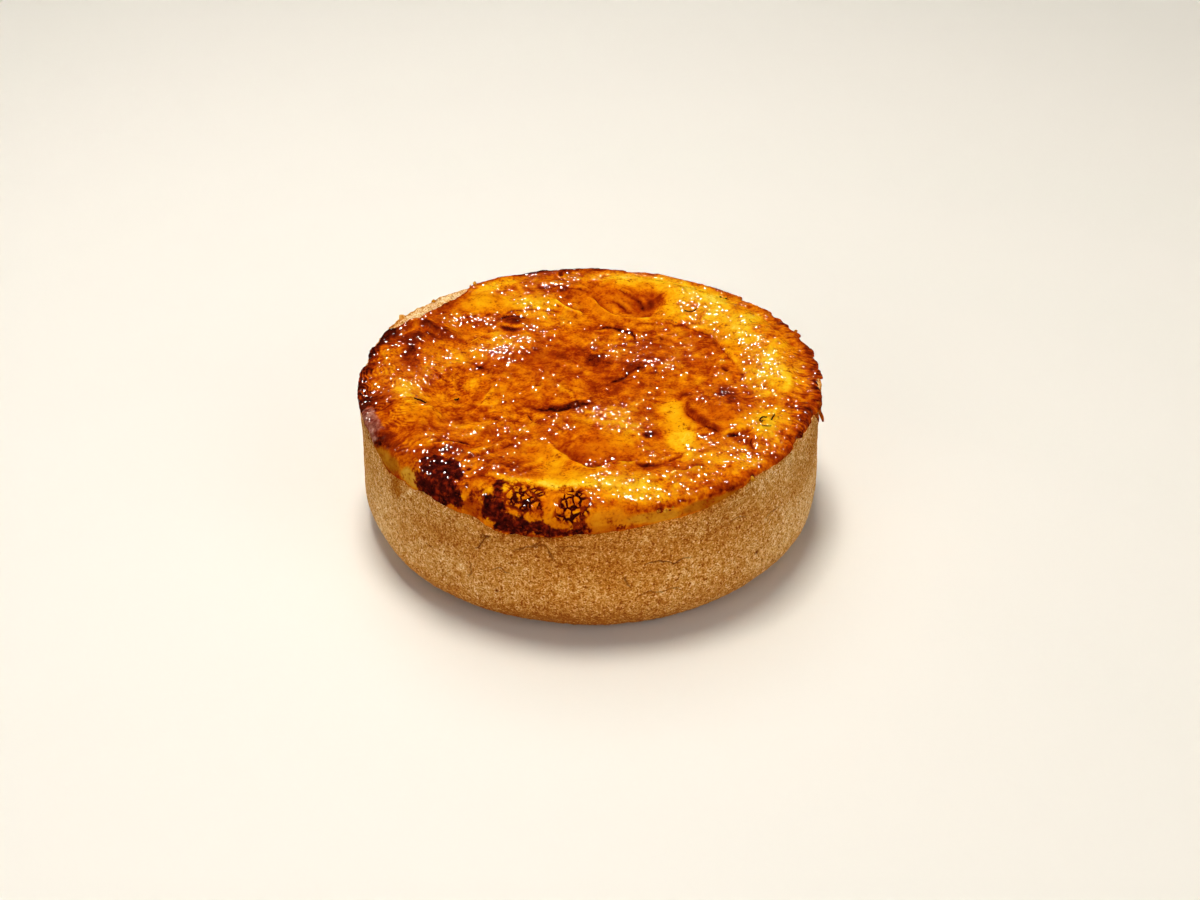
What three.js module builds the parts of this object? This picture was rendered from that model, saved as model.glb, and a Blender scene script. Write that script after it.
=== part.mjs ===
// A deep one-portion quiche: a straight-sided shortcrust shell, and the baked custard that fills it
// and laps over its edge. Both are lathed bodies whose profile changes with the azimuth.
// Millimetres, +Z up, origin at the middle of the flat base. Azimuths are in degrees, 0 at the
// front (-Y), growing towards the right (+X). The front is where the pastry has slumped lowest.
import * as THREE from "three";

// Driving dimensions of the pastry shell.
const wallRadius = 53.9; // outside of the wall where it is widest, just above the rounding
const wallTaper = 0.5; // the wall leans in by this much from there to the rim
const baseRadius = 43; // flat part of the underside
const baseRounding = 10.2; // height at which the rounded bottom edge becomes the wall
const wallThickness = 4.6;
const floorThickness = 4.5;
const innerRounding = 6;
const rimHeight = 34.4; // top of the wall where it hasn't slumped
const rimRounding = 0.9;

// Driving dimensions of the custard.
const gap = 0.3; // clearance between the custard and the pastry
const lap = 0.5; // how far the custard stands out past the wall where it covers the rim
const bareLap = 1.0; // how far it reaches onto the rim where the rim is bare
const sideHollow = 0.35; // the custard's lowest edge is drawn in by this much
const leastCrust = 0.7; // least height of the custard's side above the rim
const shoulderHeight = 35.1; // where the side of the custard turns into its top
const shoulderInset = 2.6; // from the custard's edge in to the shoulder
const ringRadius = 44.5; // puffed ring inside the edge
const ringWidth = 6.5;
const ringRise = 1.5;
const basinDrop = 0.7; // the middle sank by this much as it cooled

// How finely the two bodies are divided.
const segments = 92;
const floorRingShare = 0.45; // an extra ring of the floor, as a share of the wall's radius
const roundingSteps = 5;
const wallSteps = 4;
const topRings = 16;

// Where the rim of the pastry has slumped below rimHeight.
const rimSlumps = [
  { azimuth: -16, leftWidth: 30, rightWidth: 40, depth: 5.9 },
  { azimuth: -47, leftWidth: 14, rightWidth: 14, depth: 1.5 },
  { azimuth: 152, leftWidth: 24, rightWidth: 20, depth: 2.0 },
];
const bareRim = { azimuth: -128, halfWidth: 17 }; // the custard doesn't cover the rim here

// Puffed domes and sunken patches of the top, by the place of their middle.
const domes = [
  { x: 27, y: -13, radius: 9, rise: 1.6 },
  { x: 2, y: -28, radius: 9.5, rise: 1.7 },
  { x: -38, y: -16, radius: 6, rise: 1.2 },
  { x: -27, y: 33, radius: 9, rise: 1.1 },
  { x: -15, y: 17, radius: 9, rise: 1.1 },
  { x: 12, y: 12, radius: 10, rise: 0.9 },
  { x: 37, y: 22, radius: 9, rise: 0.8 },
  { x: -22, y: -34, radius: 8, rise: 0.9 },
  { x: 12, y: 36, radius: 7.5, rise: -1.5 },
  { x: -35, y: 1, radius: 7, rise: -1.2 },
  { x: -6, y: -10, radius: 8, rise: -0.9 },
  { x: 36, y: -28, radius: 5, rise: -0.9 },
  { x: -12, y: -40, radius: 6, rise: -0.6 },
];

const radians = THREE.MathUtils.degToRad;
const smoothstep = THREE.MathUtils.smoothstep;
const lerp = THREE.MathUtils.lerp;

// Signed distance in degrees from one azimuth to another, between -180 and 180.
function turn(from, to) {
  return ((((to - from) % 360) + 540) % 360) - 180;
}

// A hump of height 1 that falls to 0 over a few widths.
function hump(away, width) {
  return Math.exp(-((away / width) ** 2));
}

// Height of the top of the pastry wall.
function rimTop(azimuth) {
  let height = rimHeight;
  for (const slump of rimSlumps) {
    const away = turn(slump.azimuth, azimuth);
    height -= slump.depth * hump(away, away < 0 ? slump.leftWidth : slump.rightWidth);
  }
  const a = radians(azimuth);
  return height + 0.22 * Math.sin(9 * a + 0.6) + 0.14 * Math.sin(17 * a + 2.1);
}

// Radius of the outside of the wall, with the small unevenness of hand-pressed pastry.
function wallAt(azimuth, height) {
  const a = radians(azimuth);
  const broad = 0.28 * Math.sin(3 * a + 0.9) + 0.16 * Math.sin(7 * a + height * 0.09);
  const fine = 0.1 * Math.sin(13 * a + 1.7 - height * 0.16);
  const leaning = wallTaper * smoothstep(height, baseRounding, rimHeight);
  return wallRadius - leaning + broad + fine;
}

// 1 where the custard covers the rim, falling to 0 in the middle of the bare stretch.
function coverage(azimuth) {
  const away = Math.abs(turn(bareRim.azimuth, azimuth));
  return smoothstep(away, bareRim.halfWidth * 0.6, bareRim.halfWidth * 1.2);
}

// Height of the custard's top surface.
function topHeight(x, y) {
  const radius = Math.hypot(x, y);
  const a = Math.atan2(y, x);
  const ring = ringRise * (1 + 0.35 * Math.sin(2 * a + 0.4) + 0.2 * Math.sin(5 * a));
  const basin = 1 - smoothstep(radius, ringRadius - 2.4 * ringWidth, ringRadius);
  let height = shoulderHeight + ring * hump(radius - ringRadius, ringWidth) - basinDrop * basin;
  for (const dome of domes) {
    const away = Math.hypot(x - dome.x, y - dome.y);
    height += dome.rise * hump(away * away, (dome.radius * 0.87) ** 2);
  }
  return height + 0.22 * Math.sin(0.21 * x + 0.13 * y) * Math.sin(0.17 * y - 0.11 * x + 1.3);
}

// Points of the pastry's profile, from the middle of the underside round to the middle of the floor.
function pastryProfile(azimuth) {
  const top = rimTop(azimuth);
  const points = [];
  for (const share of [0, 0.4, 0.75, 1]) points.push([baseRadius * share, 0]);
  for (let step = 1; step <= roundingSteps; step++) {
    const bend = (step / roundingSteps) * (Math.PI / 2);
    const height = baseRounding * (1 - Math.cos(bend));
    points.push([lerp(baseRadius, wallAt(azimuth, height), Math.sin(bend)), height]);
  }
  for (let step = 1; step <= wallSteps; step++) {
    const height = lerp(baseRounding, top - rimRounding, step / wallSteps);
    points.push([wallAt(azimuth, height), height]);
  }
  const outside = wallAt(azimuth, top);
  const inside = outside - wallThickness;
  points.push([outside - 0.3 * rimRounding, top - 0.3 * rimRounding]);
  points.push([outside - rimRounding, top]);
  points.push([inside + rimRounding, top]);
  points.push([inside, top - rimRounding]);
  points.push([inside, lerp(floorThickness + innerRounding, top, 0.5)]);
  points.push([inside, floorThickness + innerRounding]);
  points.push([inside - 0.3 * innerRounding, floorThickness + 0.3 * innerRounding]);
  points.push([inside - innerRounding, floorThickness]);
  points.push([floorRingShare * wallRadius, floorThickness]);
  points.push([0, floorThickness]);
  return points;
}

// Points of the custard's profile, from the middle of its underside round to the middle of its top.
function custardProfile(azimuth) {
  const a = radians(azimuth);
  const rim = rimTop(azimuth);
  const outside = wallAt(azimuth, rim);
  const inside = outside - wallThickness - gap;
  const cover = coverage(azimuth);
  const edge = lerp(inside + bareLap, outside + lap, cover);
  const under = rim + gap;
  const low = floorThickness + gap;
  const points = [
    [0, low],
    [floorRingShare * wallRadius, low],
    [inside - innerRounding, low],
    [inside - 0.3 * innerRounding, low + 0.3 * innerRounding],
    [inside, low + innerRounding],
    [inside, lerp(low + innerRounding, under, 0.5)],
    [inside, under],
    [lerp(inside, edge, 0.5), under],
    [edge - sideHollow, under],
  ];
  // The side band, from the rim of the pastry up to the shoulder, bulging a little.
  const shoulder = edge - lerp(bareLap, shoulderInset, cover);
  const side = Math.sin(a);
  const front = -Math.cos(a);
  const crest = Math.max(topHeight(shoulder * side, shoulder * front), under + leastCrust);
  for (const share of [0.3, 0.6, 0.85, 1]) {
    points.push([lerp(edge, shoulder, share ** 3), lerp(under, crest, share)]);
  }
  for (let ring = topRings - 1; ring > 0; ring--) {
    const radius = (shoulder * ring) / topRings;
    points.push([radius, topHeight(radius * side, radius * front)]);
  }
  points.push([0, topHeight(0, 0)]);
  return points;
}

// A lathed body whose profile is a function of the azimuth. The profile runs from axis to axis.
function turnedBody(profileAt) {
  const first = profileAt(0).map(([radius, height]) => new THREE.Vector2(radius, height));
  const geometry = new THREE.LatheGeometry(first, segments);
  const position = geometry.getAttribute("position");
  for (let segment = 0; segment <= segments; segment++) {
    const azimuth = ((segment % segments) * 360) / segments;
    const a = radians(azimuth);
    profileAt(azimuth).forEach(([radius, height], row) => {
      const vertex = segment * first.length + row;
      position.setXYZ(vertex, radius * Math.sin(a), -radius * Math.cos(a), height);
    });
  }
  geometry.computeVertexNormals();
  return geometry;
}

function pastryShell() {
  const material = new THREE.MeshStandardMaterial({ color: 0xc08a4f, roughness: 0.85, metalness: 0 });
  const mesh = new THREE.Mesh(turnedBody(pastryProfile), material);
  mesh.name = "pastry_shell";
  return mesh;
}

function custardFilling() {
  const material = new THREE.MeshStandardMaterial({ color: 0xe0922a, roughness: 0.35, metalness: 0 });
  const mesh = new THREE.Mesh(turnedBody(custardProfile), material);
  mesh.name = "custard_filling";
  return mesh;
}

const quiche = new THREE.Group();
quiche.add(pastryShell(), custardFilling());

export default quiche;
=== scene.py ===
# Baked quiche: shortcrust shell, browned custard, and the bits that burnt or broke off them.
# Everything seen is rebuilt here as fine mesh, and the solids of the frame are hidden.
import itertools
import math
import bpy
import numpy as np
from mathutils import Matrix


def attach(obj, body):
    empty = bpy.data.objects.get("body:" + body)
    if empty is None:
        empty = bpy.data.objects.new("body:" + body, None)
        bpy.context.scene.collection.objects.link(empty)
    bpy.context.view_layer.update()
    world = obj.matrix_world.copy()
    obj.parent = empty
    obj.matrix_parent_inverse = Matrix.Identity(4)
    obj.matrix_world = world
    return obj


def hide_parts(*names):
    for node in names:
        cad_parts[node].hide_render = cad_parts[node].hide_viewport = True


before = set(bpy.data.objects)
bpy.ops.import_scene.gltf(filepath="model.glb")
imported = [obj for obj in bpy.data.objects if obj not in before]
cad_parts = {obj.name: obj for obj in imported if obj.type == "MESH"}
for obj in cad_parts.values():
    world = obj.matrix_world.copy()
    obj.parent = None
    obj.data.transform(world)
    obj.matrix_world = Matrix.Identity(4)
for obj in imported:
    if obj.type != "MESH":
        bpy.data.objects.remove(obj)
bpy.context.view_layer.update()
mm = 0.001


# Small sums that every piece uses. Lengths are millimetres, azimuths are degrees: 0 is the front,
# 90 the right side. Each works on whole arrays of points.
def smooth(low, high, value):  # 0 at low, 1 at high, eased between
    share = np.clip((value - low) / (high - low), 0.0, 1.0)
    return share * share * (3 - 2 * share)


def mix(first, second, share):
    return first + (second - first) * share


def hump(away, width):
    return np.exp(-(away / width) ** 2)


def turnFrom(middle, azimuth):
    return (azimuth - middle + 180) % 360 - 180


def polar(radius, azimuth):
    a = np.radians(azimuth)
    return radius * np.sin(a), -radius * np.cos(a)


def shuffled(seed):
    draw = np.random.default_rng(seed)
    return draw, np.tile(draw.permutation(256), 2)


def pickFrom(table, cell):  # a number from 0 to 255 for each cell of an endless grid
    at = cell & 255
    return table[table[table[at[:, 0]] + at[:, 1]] + at[:, 2]]


def ripple(points, size, seed):  # smooth noise of about -1 to 1, with bumps of this size
    draw, table = shuffled(seed)
    slopes = draw.normal(size=(256, 3))
    slopes /= np.linalg.norm(slopes, axis=1)[:, None]
    spot = points / size
    cell = np.floor(spot).astype(int)
    part = spot - cell
    ease = part ** 3 * (part * (part * 6 - 15) + 10)
    total = np.zeros(len(points))
    for corner in itertools.product((0, 1), repeat=3):
        share = np.prod(np.where(corner, ease, 1 - ease), axis=1)
        total += share * np.einsum("ij,ij->i", part - corner, slopes[pickFrom(table, cell + corner)])
    return total * 1.7


def layered(points, size, layers, seed):  # coarse ripples with finer, weaker ones on top
    return sum(ripple(points, size / 2 ** n, seed + n) / 2 ** n for n in range(layers)) / 1.4


def cells(points, size, seed):  # distance to the nearest of scattered dots
    draw, table = shuffled(seed)
    dots = draw.random((256, 3))
    spot = points / size
    cell = np.floor(spot).astype(int)
    nearest = np.full(len(points), 9.0)
    for step in itertools.product((-1, 0, 1), repeat=3):
        away = np.linalg.norm(cell + step + dots[pickFrom(table, cell + step)] - spot, axis=1)
        nearest = np.minimum(nearest, away)
    return nearest


def softLine(corners, steps=6):  # a smooth line through a few corners
    padded = np.array([corners[0], *corners, corners[-1]], float)
    share = np.linspace(0, 1, steps, endpoint=False)[:, None]
    runs = []
    for a, b, c, d in zip(padded, padded[1:], padded[2:], padded[3:]):
        curve = 2 * b + (c - a) * share + (2 * a - 5 * b + 4 * c - d) * share ** 2
        runs.append((curve + (3 * b - a - 3 * c + d) * share ** 3) / 2)
    return np.vstack([*runs, padded[-1:]])


def besideLine(x, y, corners):  # distance from a line, positive on its left, and a fade at its ends
    line = softLine(corners)
    legs = np.linalg.norm(np.diff(line, axis=0), axis=1)
    walked = np.concatenate([[0], np.cumsum(legs)]) / legs.sum()
    away = np.full(x.shape, 1e3)
    along = np.zeros(x.shape)
    for (x0, y0), (x1, y1), start, end in zip(line, line[1:], walked, walked[1:]):
        dx, dy = x1 - x0, y1 - y0
        share = np.clip(((x - x0) * dx + (y - y0) * dy) / (dx * dx + dy * dy), 0, 1)
        gap = np.hypot(x - x0 - share * dx, y - y0 - share * dy)
        side = np.where(dx * (y - y0) - dy * (x - x0) < 0, -1.0, 1.0)
        closer = gap < np.abs(away)
        away = np.where(closer, side * gap, away)
        along = np.where(closer, mix(start, end, share), along)
    return away, smooth(0, 0.2, along) * smooth(1, 0.8, along)


def oval(x, y, middleX, middleY, halfWide, halfTall, turned=0):  # 1 in an oval, 0 outside it
    c, s = math.cos(math.radians(turned)), math.sin(math.radians(turned))
    u = ((x - middleX) * c + (y - middleY) * s) / halfWide
    v = ((y - middleY) * c - (x - middleX) * s) / halfTall
    return np.exp(-(u * u + v * v) ** 1.4)


# What can be changed on the shell. The first three lines are sizes that its solid has too.
shell = {
    "wallRadius": 53.9, "taper": 0.5, "baseRadius": 44.2, "rounding": 9.0, "thickness": 4.6,
    "floor": 4.5, "rimHeight": 34.4,
    "slumps": [(-16, 30, 40, 5.9), (-47, 14, 14, 1.5), (152, 24, 20, 2.0)],  # where, left, right, depth
    "bareAzimuth": -128, "bareHalfWidth": 17,  # the custard doesn't cover the rim here
    "around": 1000, "roundingRows": 26, "wallRows": 54, "rimRows": 8,
    "lumps": 0.16, "sand": 0.075, "pits": 0.22,
    # Where burnt custard hangs lower over the pastry, and where it stops short: azimuth, width, drop.
    "hangs": [
        (-21.5, 4.2, 1.2), (-12, 7, 0.2), (5.5, 2.5, 0.4), (-56.5, 7.5, 2.6), (-47, 3, 0.7),
        (-28.5, 2.2, -0.5), (22, 12, 0.9), (43, 4, -0.4), (70, 5, 0.5), (118, 7, 0.7), (-85, 8, 0.5),
        (172, 6, 0.8),
    ],
    # Cracks in the baked wall, as points of azimuth and height, then depth and width.
    "cracks": [
        ([(-29, 20.4), (-27.4, 21.3), (-26.6, 23.0), (-25.2, 24.6)], 0.50, 0.42),
        ([(-26.6, 25.3), (-25.3, 24.7), (-24.0, 24.9)], 0.70, 0.55),
        ([(-19, 22.6), (-16.5, 24.0), (-13.6, 24.8), (-11, 25.3), (-9.6, 23.6), (-9.0, 21.4)],
         0.40, 0.36),
        ([(-14.5, 24.9), (-12.6, 25.9), (-11, 27.2)], 0.35, 0.34),
        ([(-8, 25.6), (-4, 25.9), (-1.5, 25.4)], 0.20, 0.30),
        ([(11, 20.0), (14, 20.5), (16.5, 20.1), (18.6, 18.9), (21, 19.4), (23.5, 19.1)], 0.55, 0.42),
        ([(9, 11.6), (12, 12.8), (15, 12.0), (18, 12.6), (20.5, 11.6)], 0.30, 0.32),
        ([(8.6, 14.6), (7.4, 16.6), (6.8, 18.0)], 0.25, 0.30),
        ([(-24.5, 16.4), (-22, 17.3), (-19, 16.6)], 0.30, 0.34),
        ([(-43.5, 16.8), (-42, 16.2), (-41, 16.8)], 0.40, 0.42),
        ([(-31, 12.4), (-29.5, 14.2), (-30, 16.6)], 0.25, 0.30),
        ([(33, 24.6), (36, 25.4), (38.5, 24.4)], 0.25, 0.30),
        ([(44, 20.6), (47, 21.8), (50.5, 21.4)], 0.25, 0.32),
        ([(150, 25), (156, 22.5), (160, 22.9), (166, 20.5)], 0.5, 0.42),
        ([(-104, 15), (-99, 17.5), (-95, 17.2)], 0.4, 0.36),
        ([(-160, 12), (-154, 13.4), (-150, 12.6)], 0.3, 0.34),
        ([(112, 20), (117, 18.6), (121, 19.4)], 0.35, 0.36),
    ],
    # Scorched specks on the wall: azimuth, height, size.
    "specks": [
        (-23, 11.2, 0.5), (42, 13.2, 0.6), (-42, 16.3, 0.35), (-62, 22, 0.3), (71, 20, 0.35),
        (118, 14, 0.5), (-150, 18, 0.5), (8, 27.0, 0.3),
    ],
    # Custard that boiled over and ran down the wall: azimuth, half width, lowest point, strength.
    "runs": [
        (-53.6, 2.3, 23.6, 1.0), (-56.4, 1.1, 26.8, 0.5), (-50.5, 1.0, 25.8, 0.4),
        (-46, 1.6, 27.0, 0.35), (5, 7, 28.0, 0.55), (17, 7, 28.8, 0.6), (-28, 3, 26.0, 0.3),
        (84, 6, 30.5, 0.4), (176, 5, 28.5, 0.5),
    ],
    "seeping": [(14, 18, 2.4), (-20, 40, 0.8)],  # where it soaked in below the edge: azimuth, width, reach
    "scorched": [(-37, 8), (-13, 14)],  # where the edge of the pastry scorched: azimuth, width
    "filmed": (-68, 6.5, 30.2, 32.2),  # dark film: azimuth, width, heights between which it comes in
    # Broad changes of tone: azimuth, height, half widths, browner above 0 and paler below.
    "tones": [
        (50, 28, 16, 7, -0.05), (50, 32, 9, 3, -0.14), (-15, 12, 30, 7, 0.02), (5, 22, 20, 5, 0.06),
        (-64, 12, 12, 10, -0.10), (70, 10, 20, 8, -0.12), (-40, 20, 12, 4, 0.05),
        (130, 22, 30, 9, 0.10), (-150, 24, 25, 8, 0.06), (-8, 27, 20, 2.5, 0.08),
    ],
}


def rimTop(azimuth):
    height = np.full_like(azimuth, shell["rimHeight"])
    for middle, left, right, depth in shell["slumps"]:
        away = turnFrom(middle, azimuth)
        height -= depth * hump(away, np.where(away < 0, left, right))
    a = np.radians(azimuth)
    return height + 0.22 * np.sin(9 * a + 0.6) + 0.14 * np.sin(17 * a + 2.1)


def wallAt(azimuth, height):
    a = np.radians(azimuth)
    broad = 0.28 * np.sin(3 * a + 0.9) + 0.16 * np.sin(7 * a + height * 0.09)
    fine = 0.1 * np.sin(13 * a + 1.7 - height * 0.16)
    leaning = shell["taper"] * smooth(shell["rounding"], shell["rimHeight"], height)
    return shell["wallRadius"] - leaning + broad + fine


def coverage(azimuth):  # 1 where the custard laps over the rim, 0 on the bare stretch
    away = np.abs(turnFrom(shell["bareAzimuth"], azimuth))
    return smooth(shell["bareHalfWidth"] * 0.6, shell["bareHalfWidth"] * 1.2, away)


def onRim(azimuth):  # points on a circle the size of the rim, for noise that runs round it
    x, y = polar(54.0, azimuth)
    return np.stack([x, y, np.zeros_like(x)], axis=1)


def meetingHeight(azimuth):  # where the custard's lower edge meets the pastry
    spots = onRim(azimuth)
    drop = sum(amount * hump(turnFrom(middle, azimuth), width) for middle, width, amount in shell["hangs"])
    ragged = 0.30 * ripple(spots, 5.5, 11) + 0.22 * ripple(spots, 2.2, 12) + 0.10 * ripple(spots, 1.0, 13)
    return rimTop(azimuth) - drop + ragged + 0.9 * (1 - coverage(azimuth))


def meshFrom(name, points, quads, tris, marks):  # points in mm; marks are values kept for the finish
    mesh = bpy.data.meshes.new(name)
    corners = np.concatenate([quads.ravel(), tris.ravel()])
    sizes = np.concatenate([np.full(len(quads), 4), np.full(len(tris), 3)])
    mesh.vertices.add(len(points))
    mesh.vertices.foreach_set("co", (points * mm).ravel())
    mesh.loops.add(len(corners))
    mesh.loops.foreach_set("vertex_index", corners)
    mesh.polygons.add(len(sizes))
    mesh.polygons.foreach_set("loop_start", np.concatenate([[0], np.cumsum(sizes)[:-1]]))
    mesh.polygons.foreach_set("use_smooth", np.ones(len(sizes), bool))
    for label, values in marks.items():
        layer = mesh.attributes.new(label, "FLOAT", "POINT")
        layer.data.foreach_set("value", values.astype(np.float32))
    mesh.update(calc_edges=True)
    mesh.validate()
    piece = bpy.data.objects.new(name, mesh)
    bpy.context.scene.collection.objects.link(piece)
    return piece


def pointNormals(points, quads):  # the way the surface faces at each point
    a, b, c, d = (points[quads[:, n]] for n in range(4))
    facing = np.cross(c - a, d - b)
    total = np.zeros_like(points)
    for n in range(4):
        for axis in range(3):
            total[:, axis] += np.bincount(quads[:, n], facing[:, axis], len(points))
    return total / np.maximum(np.linalg.norm(total, axis=1), 1e-9)[:, None]


def hoop(first, second):  # quads between two closed rings of point numbers
    return np.stack([first, np.roll(first, -1), np.roll(second, -1), second], axis=1)


def fan(ring, middle):
    return np.stack([ring, np.roll(ring, -1), np.full(len(ring), middle)], axis=1)


def shellRows():  # radius and height of each ring of the shell, from under the base round to its floor
    around = np.arange(shell["around"]) * 360 / shell["around"]
    edge = meetingHeight(around)
    even = np.ones_like(around)
    rows = [(even * radius, even * 0.0) for radius in (22.0, 36.0, shell["baseRadius"] - 1.2)]
    for step in np.linspace(0.0, 1.0, shell["roundingRows"]):
        bend = step * math.pi / 2
        height = even * shell["rounding"] * (1 - math.cos(bend))
        rows.append((mix(shell["baseRadius"], wallAt(around, height), math.sin(bend)), height))
    for step in np.linspace(0, 1, shell["wallRows"] + 1)[1:]:
        height = mix(shell["rounding"], edge - 0.5, step)
        rows.append((wallAt(around, height), height))
    outside = wallAt(around, edge)
    for step in np.linspace(0, 1, shell["rimRows"]):
        radius = outside - 0.15 - step * (shell["thickness"] - 0.3)
        crown = 0.45 * math.sin(math.pi * (0.12 + 0.76 * step)) - 0.2
        rows.append((radius, edge + crown))
    inside = outside - shell["thickness"]
    rows.append((inside, mix(edge, shell["floor"], 0.4)))
    rows.append((inside, even * (shell["floor"] + 5)))
    rows.append((inside - 5, even * shell["floor"]))
    return around, rows


def shellBody():  # the smooth shell: points, their azimuths, faces, and which of the points show
    around, rows = shellRows()
    radii, heights = (np.array([row[n] for row in rows]) for n in (0, 1))
    azimuth = np.tile(around, len(rows))
    x, y = polar(radii.ravel(), azimuth)
    points = np.stack([x, y, heights.ravel()], axis=1)
    rings = np.arange(len(points)).reshape(len(rows), -1)
    quads = np.vstack([hoop(low, high) for low, high in zip(rings, rings[1:])])
    points = np.vstack([points, [[0, 0, 0], [0, 0, shell["floor"]]]])
    tris = np.vstack([fan(rings[0][::-1], len(points) - 2), fan(rings[-1], len(points) - 1)])
    underBase = 3  # rings below the base, which don't show
    shown = shell["roundingRows"] + shell["wallRows"] + shell["rimRows"]
    seen = np.zeros(len(points))
    seen[rings[underBase:underBase + shown]] = 1
    return points, np.append(azimuth, [0, 0]), quads, tris, seen


def shellRelief(points, azimuth, edge, onRimTop):  # bumps and cracks; distance from cracks, their strength
    height = points[:, 2]
    relief = shell["lumps"] * layered(points, 10, 2, 21)
    relief += shell["sand"] * (ripple(points, 1.5, 24) + 0.8 * ripple(points, 0.8, 25))
    pit = smooth(0.30, 0.10, cells(points, 2.4, 26)) * (ripple(points, 7, 27) > 0.0)
    relief -= shell["pits"] * pit
    crumbly = onRimTop + smooth(2.5, 0.5, edge - height)
    relief += 0.22 * crumbly * ripple(points, 1.3, 28)
    across = np.radians(turnFrom(0, azimuth)) * shell["wallRadius"]  # distance round the wall
    wobble = 0.45 * ripple(points, 1.8, 29)
    crackGap = np.full(len(points), 2.0)
    cracked = np.zeros(len(points))
    for corners, depth, width in shell["cracks"]:
        alongWall = [(math.radians(a) * shell["wallRadius"], z) for a, z in corners]
        gap, fade = besideLine(across + wobble, height + wobble, alongWall)
        groove = hump(gap, width) * fade
        lip = hump(gap - 0.7, 0.5) * fade
        relief += 0.14 * lip - 0.7 * depth * groove
        nearer = (np.abs(gap) < np.abs(crackGap)) & (fade > 0.02)
        crackGap = np.where(nearer, gap, crackGap)
        cracked = np.maximum(cracked, np.sqrt(fade) * hump(gap, 1.3) * min(1.0, 0.45 + depth))
    return relief, crackGap, cracked


def shellStains(points, azimuth, edge, onRimTop):  # where custard soaked in, and where it scorched
    height = points[:, 2]
    below = edge - height
    seep = 0.5 + 0.5 * ripple(points, 6, 31)
    for middle, width, reach in shell["seeping"]:
        seep += reach * hump(turnFrom(middle, azimuth), width)
    stain = np.exp(-np.maximum(below, 0) / np.maximum(seep, 0.3)) * 0.75 * (1 - onRimTop)
    sway = 1.2 * ripple(points, 5, 32)
    darkRuns = np.zeros(len(points))
    for middle, halfWidth, lowest, strength in shell["runs"]:
        run = hump(turnFrom(middle, azimuth) + sway, halfWidth) * smooth(lowest - 1.2, lowest + 1.6, height)
        stain = np.maximum(stain, strength * run * smooth(-0.4, 0.3, run - 0.25))
        if halfWidth < 3:  # the narrow runs baked dark
            darkRuns = np.maximum(darkRuns, strength * run)
    burn = 0.58 * darkRuns
    ragged = 0.15 * ripple(points, 0.9, 33)
    for middle, level, size in shell["specks"]:
        away = np.hypot(turnFrom(middle, azimuth) * 0.94, height - level)
        burn = np.maximum(burn, smooth(size * 1.3, size * 0.5, away + ragged))
    scorched = sum(hump(turnFrom(middle, azimuth), width) for middle, width in shell["scorched"])
    burn = np.maximum(burn, 0.55 * scorched * smooth(1.5, 0.1, below + 0.5 * ripple(points, 1.5, 34)))
    middle, width, absent, full = shell["filmed"]
    filmed = hump(turnFrom(middle, azimuth), width)
    filmed *= smooth(absent, full, height + 1.2 * ripple(points, 3, 35))
    return stain, np.maximum(burn, 0.45 * filmed)


def shellTone(points, azimuth, onRimTop):  # from about 0, pale, to 1, brown
    height = points[:, 2]
    tone = 0.5 + 0.10 * layered(points, 12, 3, 36) + 0.05 * ripple(points, 2.6, 37)
    for middle, level, halfWide, halfTall, amount in shell["tones"]:
        tone += amount * hump(turnFrom(middle, azimuth), halfWide) * hump(height - level, halfTall)
    # Darker towards the base all round, most at the front: painted shade where the wall rounds under. The
    # flat rim top is paler: its own light tan, with a painted highlight where it faces the lamp.
    tone += (0.10 + 0.28 * hump(turnFrom(-8, azimuth), 42)) * smooth(11.5, 4.5, height) - 0.20 * onRimTop
    upper = smooth(14, 24, height) * (1 - onRimTop)
    return tone + (0.09 + 0.05 * smooth(10, 50, turnFrom(0, azimuth))) * upper


def makeShell():
    points, azimuth, quads, tris, seen = shellBody()
    height = points[:, 2]
    edge = meetingHeight(azimuth)
    wall = shell["wallRadius"]
    onRimTop = smooth(wall - 0.6, wall - 1.6, np.hypot(points[:, 0], points[:, 1])) * (height > 20)
    relief, crackGap, cracked = shellRelief(points, azimuth, edge, onRimTop)
    stain, burn = shellStains(points, azimuth, edge, onRimTop)
    tone = shellTone(points, azimuth, onRimTop)
    # The front is painted warmer and more orange: painted warm bounce light from the floor below. The rim
    # top gets a little of the same warmer colour.
    warm = 0.8 * hump(turnFrom(4, azimuth), 42) * smooth(34, 20, height) * smooth(4, 14, height)
    marks = {"stain": stain, "burn": burn, "warm": warm + 0.3 * onRimTop, "cracked": cracked}
    marks = {label: np.clip(values, 0, 1) for label, values in marks.items()}
    marks.update({"tone": tone, "crackGap": crackGap})
    points += pointNormals(points, quads) * (relief * seen)[:, None]
    points[:, 2] = np.maximum(points[:, 2], 0.0)
    return meshFrom("shortcrustShell", points, quads, tris, marks)


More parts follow.
